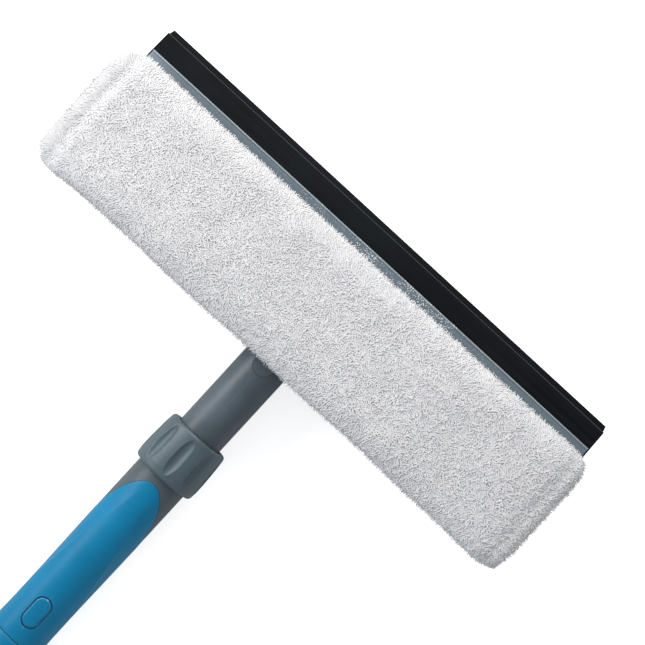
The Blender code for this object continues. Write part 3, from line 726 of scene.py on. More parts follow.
COLLAR_LOW_Y = 0.0790
COLLAR_HIGH_Y = 0.1068
RECESS_Y = 0.0932
RECESS_SPREAD = math.tau / 9
RECESS_DEPTH = 0.00175
COLLAR_WALL = 0.0166
collar_line = rounded_line([
    (0.01535, COLLAR_LOW_Y, 0.0),
    (0.0172, COLLAR_LOW_Y, 0.0004),
    (0.0180, COLLAR_LOW_Y + 0.0009, 0.0012),
    (0.01840, COLLAR_LOW_Y + 0.0045, 0.0080),
    (0.01840, COLLAR_LOW_Y + 0.0110, 0.0100),
    (0.0179, COLLAR_LOW_Y + 0.0210, 0.0120),
    (0.0174, COLLAR_HIGH_Y - 0.0012, 0.0016),
    (0.0167, COLLAR_HIGH_Y, 0.0005),
    (0.0136, COLLAR_HIGH_Y, 0.0003),
    (0.0136, COLLAR_HIGH_Y - 0.0036, 0.0),
    (0.0103, COLLAR_HIGH_Y - 0.0036, 0.0),
    (0.0103, 0.0990, 0.0),
    (0.0134, 0.0925, 0.0),
    (0.01535, 0.0890, 0.0),
], 5)
collar_bm = turned(collar_line, 360)
barrel_walls = [
    e for e in long_walls(collar_bm, 0.0012)
    if all(out_from_axis(v.co) > COLLAR_WALL for v in e.verts)
]
bmesh.ops.subdivide_edges(collar_bm, edges=barrel_walls, cuts=7, use_grid_fill=True)
for vert in collar_bm.verts:
    if out_from_axis(vert.co) > COLLAR_WALL:
        turn = math.remainder(around(vert.co), RECESS_SPREAD)
        across = turn * 0.0184 / 0.0031
        along = (vert.co.y - RECESS_Y) / 0.0112
        reach = math.hypot(across, abs(along) ** 1.25)
        bowl = max(0.0, 1.0 - reach * reach) ** 0.75
        push_out(vert, -RECESS_DEPTH * bowl)
collar_bm.normal_update()
COLLAR_GREY = moulded_plastic(
    "collar_grey",
    colour=(0.082, 0.124, 0.150),
    shade=(0.072, 0.106, 0.127),
    worn=(0.30, 0.36, 0.40),
    roughness=0.42,
    reach=0.6,
)
new_piece("twist_collar_grip", collar_bm, "twist_collar", COLLAR_GREY, ["twist_collar"], 45.0)

# ============================================================================
# Inner tube: anodised aluminium that slides in the handle, keyed by a slot for
# the lock, with a white guide bush on its lower end.
# ============================================================================

INNER_TUBE_R = 0.0095
INNER_BORE_R = 0.0083
INNER_TUBE_Y = (-0.2000, 0.1310)
KEYWAY = (0.0020, 0.0805, -0.0875)
tube_line = rounded_line([
    (INNER_BORE_R, INNER_TUBE_Y[0], 0.0),
    (INNER_TUBE_R, INNER_TUBE_Y[0], 0.0002),
    (INNER_TUBE_R, INNER_TUBE_Y[1], 0.0002),
    (INNER_BORE_R, INNER_TUBE_Y[1], 0.0),
], 2)
inner = new_piece("inner_tube_drawn", turned(tube_line, 96), "neck", ALUMINIUM, ["inner_tube"])
carve(inner, obround_block(*KEYWAY, AXIS_Z + 0.003, AXIS_Z + 0.014))
finish_node(WHITE_PLASTIC, "tube_end_bush")

# ============================================================================
# Neck sleeve: satin grey tube pressed over the inner tube and screwed from the
# back, with an oval hole for the release button and that button's spring.
# ============================================================================

NECK_R = 0.0130
NECK_BORE_R = 0.0098
NECK_Y = (0.1036, 0.1720)
RELEASE_Y = 0.1595
RELEASE_HOLE = (0.0061, 0.0096)
NECK_GREY = moulded_plastic(
    "neck_grey",
    colour=(0.086, 0.115, 0.140),
    shade=(0.066, 0.090, 0.110),
    worn=(0.16, 0.19, 0.21),
    roughness=0.39,
    reach=0.25,
)
neck_line = rounded_line([
    (NECK_BORE_R, NECK_Y[0], 0.0),
    (NECK_R, NECK_Y[0], 0.0004),
    (NECK_R, 0.1480, 0.0),
    (NECK_R, NECK_Y[1], 0.0003),
    (NECK_BORE_R, NECK_Y[1], 0.0),
])
neck = new_piece("neck_sleeve_tube", turned(neck_line, 128), "neck", NECK_GREY, ["neck_sleeve"])
carve(neck, obround_block(*RELEASE_HOLE, RELEASE_Y, 0.0225, 0.040))
finish_node(STEEL, "neck_screw")
pressed_coil("release_spring", "neck")

# ============================================================================
# Head release button: a wide oval thumb pad in the neck, ramped so that its
# lower end stays level with the sleeve.
# ============================================================================

RELEASE_GAP = 0.00012
release_w = RELEASE_HOLE[0] - RELEASE_GAP
release_l = RELEASE_HOLE[1] - RELEASE_GAP
release_bm = obround_block(release_w, release_l, RELEASE_Y, 0.0243, 0.0330, 32)
for vert in release_bm.verts:
    if vert.co.z > 0.030:
        sleeve = AXIS_Z + math.sqrt(NECK_R ** 2 - vert.co.x ** 2)
        ramp = 0.0297 + 0.2475 * max(0.0, 0.1570 - vert.co.y)
        vert.co.z = min(ramp, sleeve + 0.0001)
release_bm.normal_update()
rim = [e for e in release_bm.edges if all(v.co.z > 0.0290 for v in e.verts)]
round_edges(release_bm, rim, 0.0002, 2)
new_piece("head_release_pad", release_bm, "release_button", NECK_GREY, ["head_release_button"], 40.0)

# ============================================================================
# Swivel: the knuckle's eye turns between the carrier's cheeks on a steel pin,
# with a nylon washer at each side and a push nut on the pin's end.
# ============================================================================


def softened(name, node, made, body, width):
    """A machined or moulded piece from its CAD shape, with its edges eased."""
    bm = bmesh.new()
    bm.from_mesh(cad[node].data)
    bmesh.ops.remove_doubles(bm, verts=bm.verts, dist=2e-6)
    bmesh.ops.dissolve_limit(bm, angle_limit=math.radians(1.0), verts=bm.verts, edges=bm.edges)
    piece = new_piece(name, bm, body, made, [node])
    ease_corners(piece, width, 25.0)


softened("swivel_knuckle_moulding", "swivel_knuckle", GREY_PLASTIC, "neck", 0.0004)
softened("swivel_pin_turned", "swivel_pin", STEEL, "head", 0.0002)
softened("pin_push_nut_pressed", "pin_push_nut", STEEL, "head", 0.0002)
finish_node(WHITE_PLASTIC, "friction_washer_right", "friction_washer_left")

# ============================================================================
# Carrier frame: ribbed grey moulding across the head, with a notch and cheeks
# for the neck and black hook tape on its face for the pad.
# ============================================================================


def hook_tape():
    """Woven nylon tape with rows of small stiff hooks."""
    made, tree, shader, place = start_material("hook_tape", 0.72)
    rows = drop(tree, "ShaderNodeTexVoronoi", Vector=place, Scale=1300.0, Randomness=0.35)
    hooks = spread(tree, rows.outputs["Distance"], 0.0, 1.0, 0.0, 0.6)
    threads = spread(tree, noise_at(tree, place, 420.0, Detail=4.0), 0.0, 0.35, 0.4, 0.7)
    tone = blend_colours(tree, hooks, (0.085, 0.090, 0.095), (0.016, 0.018, 0.020))
    woven = blend_colours(tree, threads, tone, (0.10, 0.105, 0.11))
    tree.links.new(woven, shader.inputs["Base Color"])
    raise_bump(tree, shader, rows.outputs["Distance"], 0.0003, 0.8)
    return made


HOOK_TAPE = hook_tape()
softened("carrier_moulding", "carrier_frame", GREY_PLASTIC, "head", 0.00045)
finish_node(HOOK_TAPE, "hook_strip_upper", "hook_strip_lower_right", "hook_strip_lower_left", "loop_backing")

# ============================================================================
# Blade rails: the front one is a pale grey extrusion with a bead along its top
# edge, a painted highlight on that bead and painted glints near the middle, and
# the back one a grey moulding. Five screws.
# ============================================================================

BLADE_LINE = (0.2220, 0.0262)
LEAN = math.radians(12.0)
RAIL_HALF = 0.1489
RAIL_TOP = 0.0131


def leaned(u, w):
    """A point of the blade's leaning cross-section, as (y, z)."""
    y = BLADE_LINE[0] + u * math.cos(LEAN) + w * math.sin(LEAN)
    return y, BLADE_LINE[1] - u * math.sin(LEAN) + w * math.cos(LEAN)


def extruded_along(outline, half, cuts):
    """Pushes a closed (u, w) outline along X, with sections to shape it by."""
    bm = bmesh.new()
    ring = [bm.verts.new((-half, *leaned(u, w))) for u, w in outline]
    face = bm.faces.new(ring)
    pushed = bmesh.ops.extrude_face_region(bm, geom=[face], use_keep_orig=True)
    far = [item for item in pushed["geom"] if isinstance(item, bmesh.types.BMVert)]
    bmesh.ops.translate(bm, vec=(2.0 * half, 0.0, 0.0), verts=far)
    rails = [e for e in bm.edges if abs(e.verts[0].co.x - e.verts[1].co.x) > half]
    if cuts:
        bmesh.ops.subdivide_edges(bm, edges=rails, cuts=cuts, use_grid_fill=True)
    bmesh.ops.recalc_face_normals(bm, faces=bm.faces)
    return bm


def line_at_y(tree, place, y, half):
    """A soft line along X at one height up the tool, as a 0 to 1 mask."""
    split = drop(tree, "ShaderNodeSeparateXYZ", Vector=place)
    away = maths(tree, "ABSOLUTE", maths(tree, "SUBTRACT", split.outputs["Y"], y))
    return spread(tree, away, 1.0, 0.0, 0.4 * half, half)


def lines_along_x(tree, place, across, along):
    """Die lines that run along the head instead of along the pole."""
    turn = drop(tree, "ShaderNodeMapping", Vector=place, Rotation=(0.0, 0.0, 0.5 * math.pi))
    lines = place_group(tree, DRAWN_LINES, turn.outputs["Vector"], Across=across, Along=along)
    return lines.outputs["Lines"]


def rail_finish():
    """Grey extrusion with die lines along X, a painted highlight along the bead and painted glints near the
    middle.
    """
    made, tree, shader, place = start_material("rail_grey", 0.36)
    lines = lines_along_x(tree, place, 2400.0, 9.0)
    wear = place_group(tree, EDGE_WEAR_AND_HIGHLIGHT, place, Reach=0.5)
    streaks = spread(tree, lines, 0.0, 1.0, 0.3, 0.7)
    body = blend_colours(tree, streaks, (0.135, 0.178, 0.212), (0.175, 0.222, 0.258))
    worn = blend_colours(tree, wear.outputs["Mask"], body, (0.34, 0.40, 0.44))
    # Painted highlight: a paler line along the bead, where its rounded top catches the light.
    bead = line_at_y(tree, place, leaned(RAIL_TOP - 0.0006, 0.0036)[0], 0.0007)
    with_bead_highlight = blend_colours(tree, spread(tree, bead, 0.0, 0.75), worn, (0.36, 0.42, 0.46))
    # Painted glints: pale specks near the middle of the rail, as light sparkling on a textured patch.
    glint_cells = drop(tree, "ShaderNodeTexVoronoi", Vector=place, Scale=1080.0)
    crowd = spread(tree, noise_at(tree, place, 130.0, Detail=2.0), 0.13, 0.36, 0.36, 0.62)
    split = drop(tree, "ShaderNodeSeparateXYZ", Vector=place)
    left = spread(tree, split.outputs["X"], 0.0, 1.0, -0.085, -0.015)
    right = spread(tree, split.outputs["X"], 1.0, 0.0, 0.055, 0.100)
    size = maths(tree, "MULTIPLY", maths(tree, "MULTIPLY", left, right), crowd)
    speck = maths(tree, "LESS_THAN", glint_cells.outputs["Distance"], size)
    tone = blend_colours(tree, speck, with_bead_highlight, (0.82, 0.84, 0.86))
    tree.links.new(tone, shader.inputs["Base Color"])
    raise_bump(tree, shader, lines, 0.00002)
    return made


RAIL_GREY = rail_finish()
rail_line = rounded_line([
    (-0.0060, 0.0014, 0.0002),
    (0.0017, 0.0014, 0.0),
    (0.0017, 0.0023, 0.0),
    (0.0053, 0.0023, 0.0),
    (0.0053, 0.0014, 0.0),
    (RAIL_TOP, 0.0014, 0.0002),
    (RAIL_TOP, 0.0035, 0.0005),
    (RAIL_TOP - 0.0007, 0.0038, 0.0004),
    (RAIL_TOP - 0.0013, 0.0032, 0.0003),
    (-0.0052, 0.0032, 0.0006),
    (-0.0060, 0.0025, 0.0003),
], 3)
front_rail_bm = extruded_along(rail_line, RAIL_HALF, 11)
ends = [f for f in front_rail_bm.faces if abs(f.normal.x) > 0.9]
round_edges(front_rail_bm, [e for f in ends for e in f.edges], 0.0002, 2)
new_piece("blade_rail_extrusion", front_rail_bm, "head", RAIL_GREY, ["blade_rail_front"], 40.0)
softened("blade_rail_backing", "blade_rail_back", GREY_PLASTIC, "head", 0.0003)
for number in range(1, 6):
    softened(f"rail_screw_{number}_driven", f"rail_screw_{number}", STEEL, "head", 0.00015)

# ============================================================================
# Rubber blade: black natural rubber extruded with a thick root, cut back to a
# thin wiping lip, with faint die streaks along its length.
# ============================================================================

BLADE_HALF = 0.150
RUBBER_W = 0.0011
LIP_EDGE = (0.250 - BLADE_LINE[0] - 0.0002 * math.sin(LEAN)) / math.cos(LEAN)
LIP_STEP = LIP_EDGE - 0.0031


def extruded_rubber():
    """Black rubber: long soft streaks, a chalky bloom, a painted highlight line at the lip's step, little
    gloss.
    """
    made, tree, shader, place = start_material("black_rubber", 0.50)
    lines = lines_along_x(tree, place, 900.0, 5.0)
    streaks = spread(tree, lines, 0.0, 1.0, 0.35, 0.65)
    bloom = spread(tree, noise_at(tree, place, 26.0, Detail=4.0), 0.0, 0.5, 0.45, 0.75)
    # Painted highlight: a paler line along the lip's step, where its rounded edge catches the light.
    step = line_at_y(tree, place, leaned(LIP_STEP - 0.0003, RUBBER_W)[0], 0.00028)
    body = blend_colours(tree, streaks, (0.0022, 0.0032, 0.0045), (0.0050, 0.0065, 0.0085))
    bloomed = blend_colours(tree, bloom, body, (0.010, 0.013, 0.017))
    tone = blend_colours(tree, step, bloomed, (0.055, 0.062, 0.070))
    tree.links.new(tone, shader.inputs["Base Color"])
    tree.links.new(spread(tree, lines, 0.40, 0.56, 0.3, 0.7), shader.inputs["Roughness"])
    raise_bump(tree, shader, lines, 0.00003)
    shader.inputs["Specular IOR Level"].default_value = 0.09
    return made


BLACK_RUBBER = extruded_rubber()
rubber_line = rounded_line([
    (0.0020, -0.0019, 0.0003),
    (0.0050, -0.0019, 0.0003),
    (0.0050, -RUBBER_W, 0.0),
    (LIP_EDGE, -RUBBER_W, 0.0002),
    (LIP_EDGE, 0.0002, 0.0002),
    (LIP_STEP + 0.0002, 0.0002, 0.0002),
    (LIP_STEP - 0.0003, RUBBER_W, 0.0002),
    (0.0050, RUBBER_W, 0.0),
    (0.0050, 0.0019, 0.0003),
    (0.0020, 0.0019, 0.0003),
], 3)
rubber_bm = extruded_along(rubber_line, BLADE_HALF, 29)
for vert in rubber_bm.verts:
    u = (vert.co.y - BLADE_LINE[0]) * math.cos(LEAN) - (vert.co.z - BLADE_LINE[1]) * math.sin(LEAN)
    if u > LIP_STEP and abs(vert.co.x) > BLADE_HALF - 0.0001:
        trim = 0.0006 + 0.0006 * float(ease(LIP_EDGE - 0.0012, LIP_EDGE, u))
        vert.co.x -= math.copysign(trim, vert.co.x)
new_piece("rubber_blade_extrusion", rubber_bm, "head", BLACK_RUBBER, ["rubber_blade"], 40.0)

# ============================================================================
# Washer pad: white microfibre plush sewn round a sheet of foam, with a puffy
# rolled hem along both short ends, pressed onto the carrier's hook tape.
# ============================================================================

PAD_LOW, PAD_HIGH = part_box("washer_pad")
PAD_SHIFT = -0.0013
HEM_WIDTH = 0.0100
SOFTNESS = 0.72
CLUMP_SCALE = 520.0
CLUMP_HEIGHT = 0.0007
SWIRL_SCALE = 30.0
CURL_SCALE = 130.0
SWAY = 0.00016
PAD_MIDDLE_Y = 0.193
PAD_INSET = 0.0016
CLOTH_STEPS = 20


def triples(items, label, kind=float):
    """Three numbers for each point or face of a mesh, as rows."""
    values = np.empty(len(items) * 3, dtype=kind)
    items.foreach_get(label, values)
    return values.reshape(-1, 3)


def swell(piece, pressure, cap, voxel):
    """Puffs a closed form with cloth under pressure, and caps how far it moves."""
    remesh = piece.modifiers.new("voxels", "REMESH")
    remesh.mode = "VOXEL"
    remesh.voxel_size = voxel
    bake_modifiers(piece, 0.0)
    before = triples(piece.data.vertices, "co")
    after = before.copy()
    cloth = piece.modifiers.new("cloth", "CLOTH")
    cloth.settings.use_pressure = True
    cloth.settings.uniform_pressure_force = pressure
    cloth.settings.effector_weights.gravity = 0.0
    cloth.settings.quality = 4
    for step in range(1, CLOTH_STEPS + 1):
        scene.frame_set(step)
    graph = bpy.context.evaluated_depsgraph_get()
    swollen = piece.evaluated_get(graph)
    after = triples(swollen.to_mesh().vertices, "co")
    swollen.to_mesh_clear()
    piece.modifiers.clear()
    scene.frame_set(1)
    move = after - before
    far = np.linalg.norm(move, axis=1, keepdims=True)
    after = before + move * np.minimum(1.0, cap / np.maximum(far, 1e-9))
    piece.data.vertices.foreach_set("co", after.reshape(-1))
    piece.data.update()


def reshape_points(piece, change):
    """Moves a piece's points by a function of their coordinates."""
    mesh = piece.data
    points = change(triples(mesh.vertices, "co"))
    mesh.vertices.foreach_set("co", points.reshape(-1))
    mesh.update()


def fit_between(piece, low, high):
    """Brings a swollen piece back to the size it was sewn to."""
    def stretch(points):
        least, most = points.min(axis=0), points.max(axis=0)
        return low + (points - least) / (most - least) * (high - low)
    reshape_points(piece, stretch)


def refine(piece, levels):
    """Rounds a piece off by subdividing it."""
    smooth = piece.modifiers.new("smooth", "SUBSURF")
    smooth.levels = levels
    smooth.render_levels = levels
    bake_modifiers(piece, 0.0)


def tuft_template():
    """One tuft: a four-sided spindle along Z from 0 to 1, of 24 triangles."""
    bm = bmesh.new()
    bmesh.ops.create_uvsphere(bm, u_segments=4, v_segments=4, radius=1.0)
    bmesh.ops.rotate(bm, verts=bm.verts, matrix=Matrix.Rotation(math.pi / 4, 3, "Z"))
    bmesh.ops.translate(bm, vec=(0.0, 0.0, 1.0), verts=bm.verts)
    bmesh.ops.scale(bm, vec=(1.0, 1.0, 0.5), verts=bm.verts)
    mesh = bpy.data.meshes.new("tuft")
    bm.to_mesh(mesh)
    bm.free()
    return mesh


def spread_roots(mesh, spacing, seed, wanted):
    """Points on a mesh at least spacing apart, with their normals."""
    rng = np.random.default_rng(seed)
    mesh.calc_loop_triangles()
    corners = triples(mesh.vertices, "co")
    facing = triples(mesh.vertices, "normal")
    tris = triples(mesh.loop_triangles, "vertices", np.int64)
    a, b, c = (corners[tris[:, k]] for k in range(3))
    cross = np.cross(b - a, c - a)
    double = np.linalg.norm(cross, axis=1)
    area = 0.5 * double * wanted((a + b + c) / 3.0, cross / np.maximum(double, 1e-15)[:, None])
    tries = int(area.sum() / (spacing * spacing) * 4.0)
    pick = rng.choice(len(area), size=tries, p=area / area.sum())
    r1 = np.sqrt(rng.random(tries))[:, None]
    r2 = rng.random(tries)[:, None]
    points = a[pick] * (1 - r1) + b[pick] * r1 * (1 - r2) + c[pick] * r1 * r2
    na, nb, nc = (facing[tris[pick, k]] for k in range(3))
    normals = na * (1 - r1) + nb * r1 * (1 - r2) + nc * r1 * r2
    normals /= np.linalg.norm(normals, axis=1, keepdims=True)
    cells = np.floor(points / spacing).astype(int).tolist()
    places = points.tolist()
    limit = spacing * spacing
    taken, grid = [], {}
    near_cells = [(i, j, k) for i in (-1, 0, 1) for j in (-1, 0, 1) for k in (-1, 0, 1)]
    for index, (i, j, k) in enumerate(cells):
        x, y, z = places[index]
        clear = True
        for di, dj, dk in near_cells:
            for px, py, pz in grid.get((i + di, j + dj, k + dk), ()):
                if (px - x) ** 2 + (py - y) ** 2 + (pz - z) ** 2 < limit:
                    clear = False
                    break
            if not clear:
                break
        if clear:
            grid.setdefault((i, j, k), []).append((x, y, z))
            taken.append(index)
    return points[taken], normals[taken]


def lay_angles(points):
    """The pile's lay: slow swirls with smaller curls on them, in radians."""
    angles = []
    for x, y, z in points.tolist():
        slow = noise.noise(Vector((x * SWIRL_SCALE, y * SWIRL_SCALE, z * SWIRL_SCALE + 5.0)))
        curl = noise.noise(Vector((x * CURL_SCALE, y * CURL_SCALE, z * CURL_SCALE + 11.0)))
        angles.append(7.0 * slow + 4.5 * curl)
    return np.array(angles)


def grow_tufts(name, points, normals, seed, size, outward):
    """Curved, wavy tufts on their roots, carrying a root-to-tip attribute and a tone painted lighter on
    raised clumps.
    """
    rng = np.random.default_rng(seed)
    length, rise, width, curl = size
    count = len(points)
    angle = lay_angles(points) + rng.normal(0.0, 0.45, count)
    across = np.cross(normals, np.array((0.31, 0.95, 0.05)))
    across /= np.linalg.norm(across, axis=1, keepdims=True)
    along = np.cross(across, normals)
    lay = along * np.cos(angle)[:, None] + across * np.sin(angle)[:, None]
    lay = lay + outward(points, normals)
    lay -= normals * np.sum(lay * normals, axis=1, keepdims=True)
    lay /= np.maximum(np.linalg.norm(lay, axis=1, keepdims=True), 1e-9)
    side = np.cross(normals, lay)
    clump = np.array([noise.noise(Vector(point)) for point in (points * CLUMP_SCALE).tolist()])
    matted = 0.35 + 0.65 * ease(-0.15, 0.15, points[:, 0] - 1.5 * (points[:, 1] - PAD_MIDDLE_Y))
    clump *= matted

    template = tuft_template()
    shape = triples(template.vertices, "co")
    t = shape[:, 2][None, :]
    reach = (length * rng.uniform(0.7, 1.3, count))[:, None]
    height = (rise * rng.uniform(0.75, 1.25, count))[:, None]
    thick = (width * rng.uniform(0.8, 1.2, count))[:, None]
    phase = rng.uniform(0.0, math.tau, count)[:, None]
    sway = (SWAY * rng.uniform(0.4, 1.3, count))[:, None]
    forward = reach * (t - 0.4)
    lift = height * (1.5 * np.sin(math.pi * (0.10 + curl * t)) - 0.88)
    wave = sway * np.sin(math.tau * 0.9 * t + phase)
    lift = lift + CLUMP_HEIGHT * clump[:, None]
    centre = (
        points[:, None, :]
        + lay[:, None, :] * forward[..., None]
        + normals[:, None, :] * lift[..., None]
        + side[:, None, :] * wave[..., None]
    )
    co = (
        centre
        + side[:, None, :] * (shape[:, 0][None, :, None] * thick[..., None])
        + normals[:, None, :] * (shape[:, 1][None, :, None] * thick[..., None] * 0.7)
    )
    own = (
        side[:, None, :] * shape[:, 0][None, :, None]
        + normals[:, None, :] * shape[:, 1][None, :, None]
    )
    sky_side = np.array((0.0, 0.0, 1.0)) * np.sign(normals[:, None, 2:3] + 0.25)
    open_sky = 0.45 * normals[:, None, :] + 0.55 * sky_side
    shading = own * (1.0 - SOFTNESS) + open_sky * SOFTNESS
    shading /= np.maximum(np.linalg.norm(shading, axis=2, keepdims=True), 1e-9)

    faces = len(template.polygons)
    loops = len(template.loops)
    verts = len(template.vertices)
    loop_verts = np.empty(loops, dtype=np.int32)
    template.loops.foreach_get("vertex_index", loop_verts)
    starts = np.empty(faces, dtype=np.int32)
    template.polygons.foreach_get("loop_start", starts)
    mesh = bpy.data.meshes.new(name)
    mesh.vertices.add(count * verts)
    mesh.loops.add(count * loops)
    mesh.polygons.add(count * faces)
    turn = np.arange(count, dtype=np.int32)[:, None]
    mesh.vertices.foreach_set("co", co.astype(np.float32).reshape(-1))
    mesh.loops.foreach_set("vertex_index", (loop_verts[None, :] + turn * verts).reshape(-1))
    mesh.polygons.foreach_set("loop_start", (starts[None, :] + turn * loops).reshape(-1))
    mesh.update(calc_edges=True)
    mesh.shade_smooth()
    mesh.normals_split_custom_set_from_vertices(shading.reshape(-1, 3).tolist())
    tuft = mesh.attributes.new("tuft", "FLOAT_VECTOR", "POINT")
    # Each tuft's tone: random, plus painted light on raised clumps and painted shade on low ones.
    bright = np.clip(0.5 + 0.35 * (rng.random(count) - 0.5) + 1.1 * clump, 0.0, 1.0)
    tone = np.broadcast_to(bright[:, None], (count, verts))
    tip = np.broadcast_to(t, (count, verts))
    up = np.broadcast_to((shape[:, 1] * 0.5 + 0.5)[None, :], (count, verts))
    tuft.data.foreach_set("vector", np.stack((tip, tone, up), axis=-1).astype(np.float32).reshape(-1))
    bpy.data.meshes.remove(template)
    return mesh


def fleece_finish():
    """White polyester pile with fine fibres in it, painted shade at the roots and in crevices, painted light
    on clumps.
    """
    made, tree, shader, place = start_material("white_fleece", 0.90)
    tuft = drop(tree, "ShaderNodeAttribute", attribute_name="tuft")
    parts = drop(tree, "ShaderNodeSeparateXYZ", Vector=tuft.outputs["Vector"]).outputs
    high = drop(tree, "ShaderNodeSeparateXYZ", Vector=place).outputs
    fibre = noise_at(tree, place, 1900.0, Detail=4.0, Roughness=0.65)
    # Painted shade: slow clouds that darken the pile in patches.
    shade_patch = noise_at(tree, place, 48.0, Detail=3.0)
    # Painted shade: each tuft darker at its root and lighter towards its tip.
    root = spread(tree, parts["X"], 0.0, 1.0, 0.0, 0.55)
    tone = blend_colours(tree, root, (0.845, 0.845, 0.865), (0.895, 0.893, 0.905))
    layers = (
        # Tufts of random tone with painted light on raised clumps, painted shade in the crevices
        # between them, single fibres, and slow clouds of painted shade,
        (parts["Y"], 0.0, 0.7, 0.5, 1.0, (0.925, 0.923, 0.925)),
        (parts["Y"], 0.55, 0.0, 0.12, 0.46, (0.70, 0.70, 0.73)),
        (fibre, 0.16, 0.0, 0.35, 0.62, (0.70, 0.70, 0.72)),
        (shade_patch, 0.20, 0.0, 0.35, 0.62, (0.72, 0.72, 0.75)),
        # then painted light along the top band, cool painted light along the lower edge
        # and painted shade on the left end.
        (high["Y"], 0.0, 0.75, 0.2170, 0.2235, (0.87, 0.87, 0.875)),
        (high["Y"], 0.65, 0.0, 0.1560, 0.1690, (0.90, 0.93, 0.97)),
        (high["X"], 0.85, 0.0, -0.1590, -0.1535, (0.66, 0.66, 0.675)),
    )
    for source, least, most, source_low, source_high, colour in layers:
        mask = spread(tree, source, least, most, source_low, source_high)
        tone = blend_colours(tree, mask, tone, colour)
    tree.links.new(tone, shader.inputs["Base Color"])
    raise_bump(tree, shader, fibre, 0.00012, 0.5)
    shader.inputs["Specular IOR Level"].default_value = 0.15
    shader.inputs["Sheen Weight"].default_value = 0.20
    shader.inputs["Sheen Roughness"].default_value = 0.5
    return made


def pad_form():
    """The slab with rounded corners and long soft shoulders, a little undersized."""
    bm = bmesh.new()
    bmesh.ops.create_cube(bm, size=1.0)
    size = PAD_HIGH - PAD_LOW
    middle = 0.5 * (PAD_LOW + PAD_HIGH)
    bmesh.ops.scale(
        bm,
        vec=(size.x - 2 * PAD_INSET, size.y - 2 * PAD_INSET, size.z - PAD_INSET),
        verts=bm.verts,
    )
    bmesh.ops.translate(
        bm,
        vec=(middle.x + PAD_SHIFT, middle.y, middle.z - 0.5 * PAD_INSET),
        verts=bm.verts,
    )
    upright = [e for e in bm.edges if abs(e.verts[0].co.z - e.verts[1].co.z) > 0.001]
    round_edges(bm, upright, 0.0125, 6)
    front = [e for e in bm.edges if all(v.co.z > middle.z for v in e.verts)]
    round_edges(bm, front, 0.0095, 6)
    return bm


def lumps_at(points, scale, level):
    """A smooth random height at each point, from its place in plan."""
    plan = points[:, :2].tolist()
    return np.array([noise.noise(Vector((x * scale, y * scale, level))) for x, y in plan])


def shape_pad(points):
    """Flat back, sewn valleys inside the rolled ends, slow lumps in the plush."""
    points[:, 2] = np.maximum(points[:, 2], PAD_LOW.z + 0.0001)
    inward = PAD_HIGH.x - np.abs(points[:, 0] - PAD_SHIFT)
    left = points[:, 0] < 0.0
    up = ease(PAD_LOW.z + 0.004, PAD_LOW.z + 0.011, points[:, 2])
    valley = np.where(left, 0.0019, 0.0012) * np.exp(-((inward - HEM_WIDTH) / 0.0028) ** 2)
    roll = 0.0003 * np.exp(-((inward - 0.5 * HEM_WIDTH) / 0.0030) ** 2)
    lumps = lumps_at(points, 36.0, 3.7)
    knots = lumps_at(points, 120.0, 8.1)
    points[:, 2] += up * (roll - valley + 0.0010 * lumps + 0.0005 * knots)
    wobble = lumps_at(points, 26.0, 1.3)
    edge = 1.0 - ease(0.0, 0.014, np.minimum(points[:, 1] - PAD_LOW.y, PAD_HIGH.y - points[:, 1]))
    points[:, 1] += edge * 0.0008 * wobble
    return points


def comb_pad(points, normals):
    """Pile is combed off the edges, straight out of the hems, down the walls."""
    inward = PAD_HIGH.x - np.abs(points[:, 0] - PAD_SHIFT)
    edge = np.minimum(points[:, 1] - PAD_LOW.y, PAD_HIGH.y - points[:, 1])
    steep = 1.0 - np.clip(normals[:, 2], 0.0, 1.0)
    pull = np.zeros_like(points)
    pull[:, 0] = np.sign(points[:, 0]) * 2.2 * (1.0 - ease(0.002, 0.015, inward))
    pull[:, 1] = np.sign(points[:, 1] - PAD_MIDDLE_Y) * 2.4 * (1.0 - ease(0.002, 0.016, edge))
    pull[:, 2] = -1.2 * steep
    return pull


FLEECE = fleece_finish()
pad = new_piece("pad_cover", pad_form(), "head", FLEECE, ["washer_pad"], 0.0)
swell(pad, pressure=4.0, cap=0.0016, voxel=0.005)
refine(pad, 1)
pad_shift = np.array((PAD_SHIFT, 0.0, 0.0))
fit_between(
    pad,
    np.array(PAD_LOW) + pad_shift + (0.0008, 0.0006, 0.0001),
    np.array(PAD_HIGH) + pad_shift - (0.0020, 0.0006, 0.0012),
)
reshape_points(pad, shape_pad)
refine(pad, 1)


def plant_pile(base, stem, spacing, size, seed, wanted, outward, strip_tufts=6500):
    """Covers a base with tufts, in strips along X that each stay light."""
    roots, facing = spread_roots(base.data, spacing, seed, wanted)
    order = np.argsort(roots[:, 0])
    strips = np.array_split(order, len(order) // strip_tufts + 1)
    for number, chosen in enumerate(strips):
        mesh = grow_tufts(f"{stem}_{number}", roots[chosen], facing[chosen], seed + number, size, outward)
        mesh.materials.append(FLEECE)
        pile = bpy.data.objects.new(f"{stem}_{number}", mesh)
        scene.collection.objects.link(pile)
        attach(pile, "head")
    print(stem, len(roots), "tufts in", len(strips), "strips")


plant_pile(
    pad,
    "pad_pile",
    spacing=0.00076,
    size=(0.0019, 0.0007, 0.00050, 0.66),
    seed=70,
    wanted=lambda centres, facing: (centres[:, 2] > PAD_LOW.z + 0.0006).astype(float),
    outward=comb_pad,
)


def near_edge(centres, facing):
    """The walls of the pad, where stray fibres stand out."""
    return ((facing[:, 2] < 0.55) & (centres[:, 2] > PAD_LOW.z + 0.002)).astype(float)


plant_pile(
    pad,
    "pad_wisps",
    spacing=0.00098,
    size=(0.0016, 0.0026, 0.00028, 0.42),
    seed=110,
    wanted=near_edge,
    outward=lambda points, normals: 0.3 * comb_pad(points, normals),
)


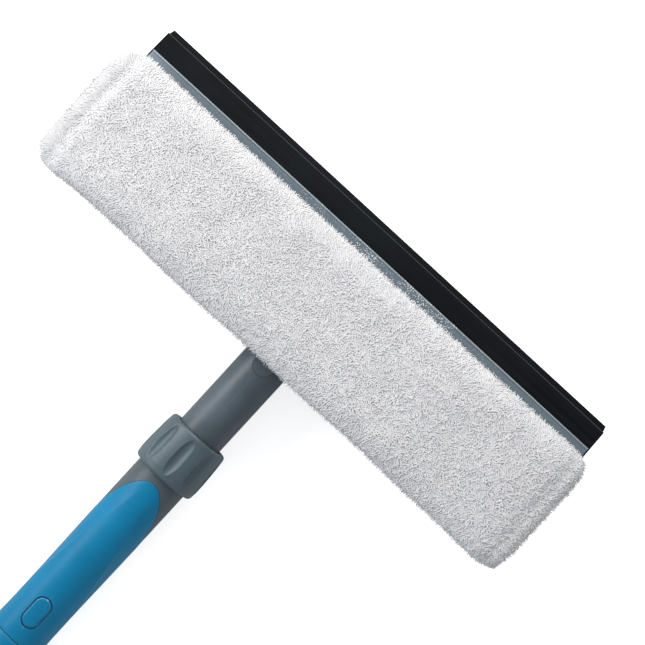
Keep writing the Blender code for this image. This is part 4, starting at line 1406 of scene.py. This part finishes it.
def foam_finish():
    """Open-cell foam, seen only if the pad is opened."""
    made, tree, shader, place = start_material("foam", 0.92)
    cells = drop(tree, "ShaderNodeTexVoronoi", Vector=place, Scale=900.0)
    open_cells = spread(tree, cells.outputs["Distance"], 0.0, 1.0, 0.1, 0.5)
    tone = blend_colours(tree, open_cells, (0.30, 0.31, 0.33), (0.60, 0.61, 0.63))
    tree.links.new(tone, shader.inputs["Base Color"])
    raise_bump(tree, shader, cells.outputs["Distance"], 0.0004)
    return made


finish_node(foam_finish(), "pad_foam")

# ============================================================================
# Pad pockets: folded fleece sewn to the pad's back at each end, which slip
# over the carrier's ends and keep the pad from twisting off.
# ============================================================================

for side, word in ((1.0, "right"), (-1.0, "left")):
    pocket_bm = bmesh.new()
    pocket_bm.from_mesh(cad[f"pad_pocket_{word}"].data)
    bmesh.ops.remove_doubles(pocket_bm, verts=pocket_bm.verts, dist=2e-6)
    pocket = new_piece(f"pocket_cover_{word}", pocket_bm, "head", FLEECE, [f"pad_pocket_{word}"], 0.0)
    swell(pocket, pressure=3.0, cap=0.0006, voxel=0.0022)
    pocket_low, pocket_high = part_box(f"pad_pocket_{word}")
    fit_between(
        pocket,
        np.array(pocket_low) + (0.0022 if side < 0 else 0.0004, 0.0014, 0.0006),
        np.array(pocket_high) - (0.0022 if side > 0 else 0.0004, 0.0008, 0.0002),
    )
    relax = pocket.modifiers.new("relax", "SMOOTH")
    relax.factor = 0.5
    relax.iterations = 6
    bake_modifiers(pocket, 0.0)

    def pocket_outside(centres, facing, side=side):
        back = (facing[:, 2] < -0.3) & (centres[:, 2] < 0.0225)
        end = facing[:, 0] * side > 0.3
        heel = (facing[:, 1] < -0.3) & (centres[:, 1] < 0.160)
        mouth = (facing[:, 0] * side < -0.3) & (centres[:, 0] * side < 0.112)
        top = (facing[:, 1] > 0.3) & (centres[:, 1] > 0.2085)
        return (back | end | heel | mouth | top).astype(float)

    def comb_pocket(points, normals, side=side):
        pull = np.zeros_like(points)
        pull[:, 0] = side * 0.4
        return pull

    plant_pile(
        pocket,
        f"pocket_pile_{word}",
        spacing=0.00100,
        size=(0.0026, 0.0009, 0.00055, 0.66),
        seed=150 if side > 0 else 190,
        wanted=pocket_outside,
        outward=comb_pocket,
    )
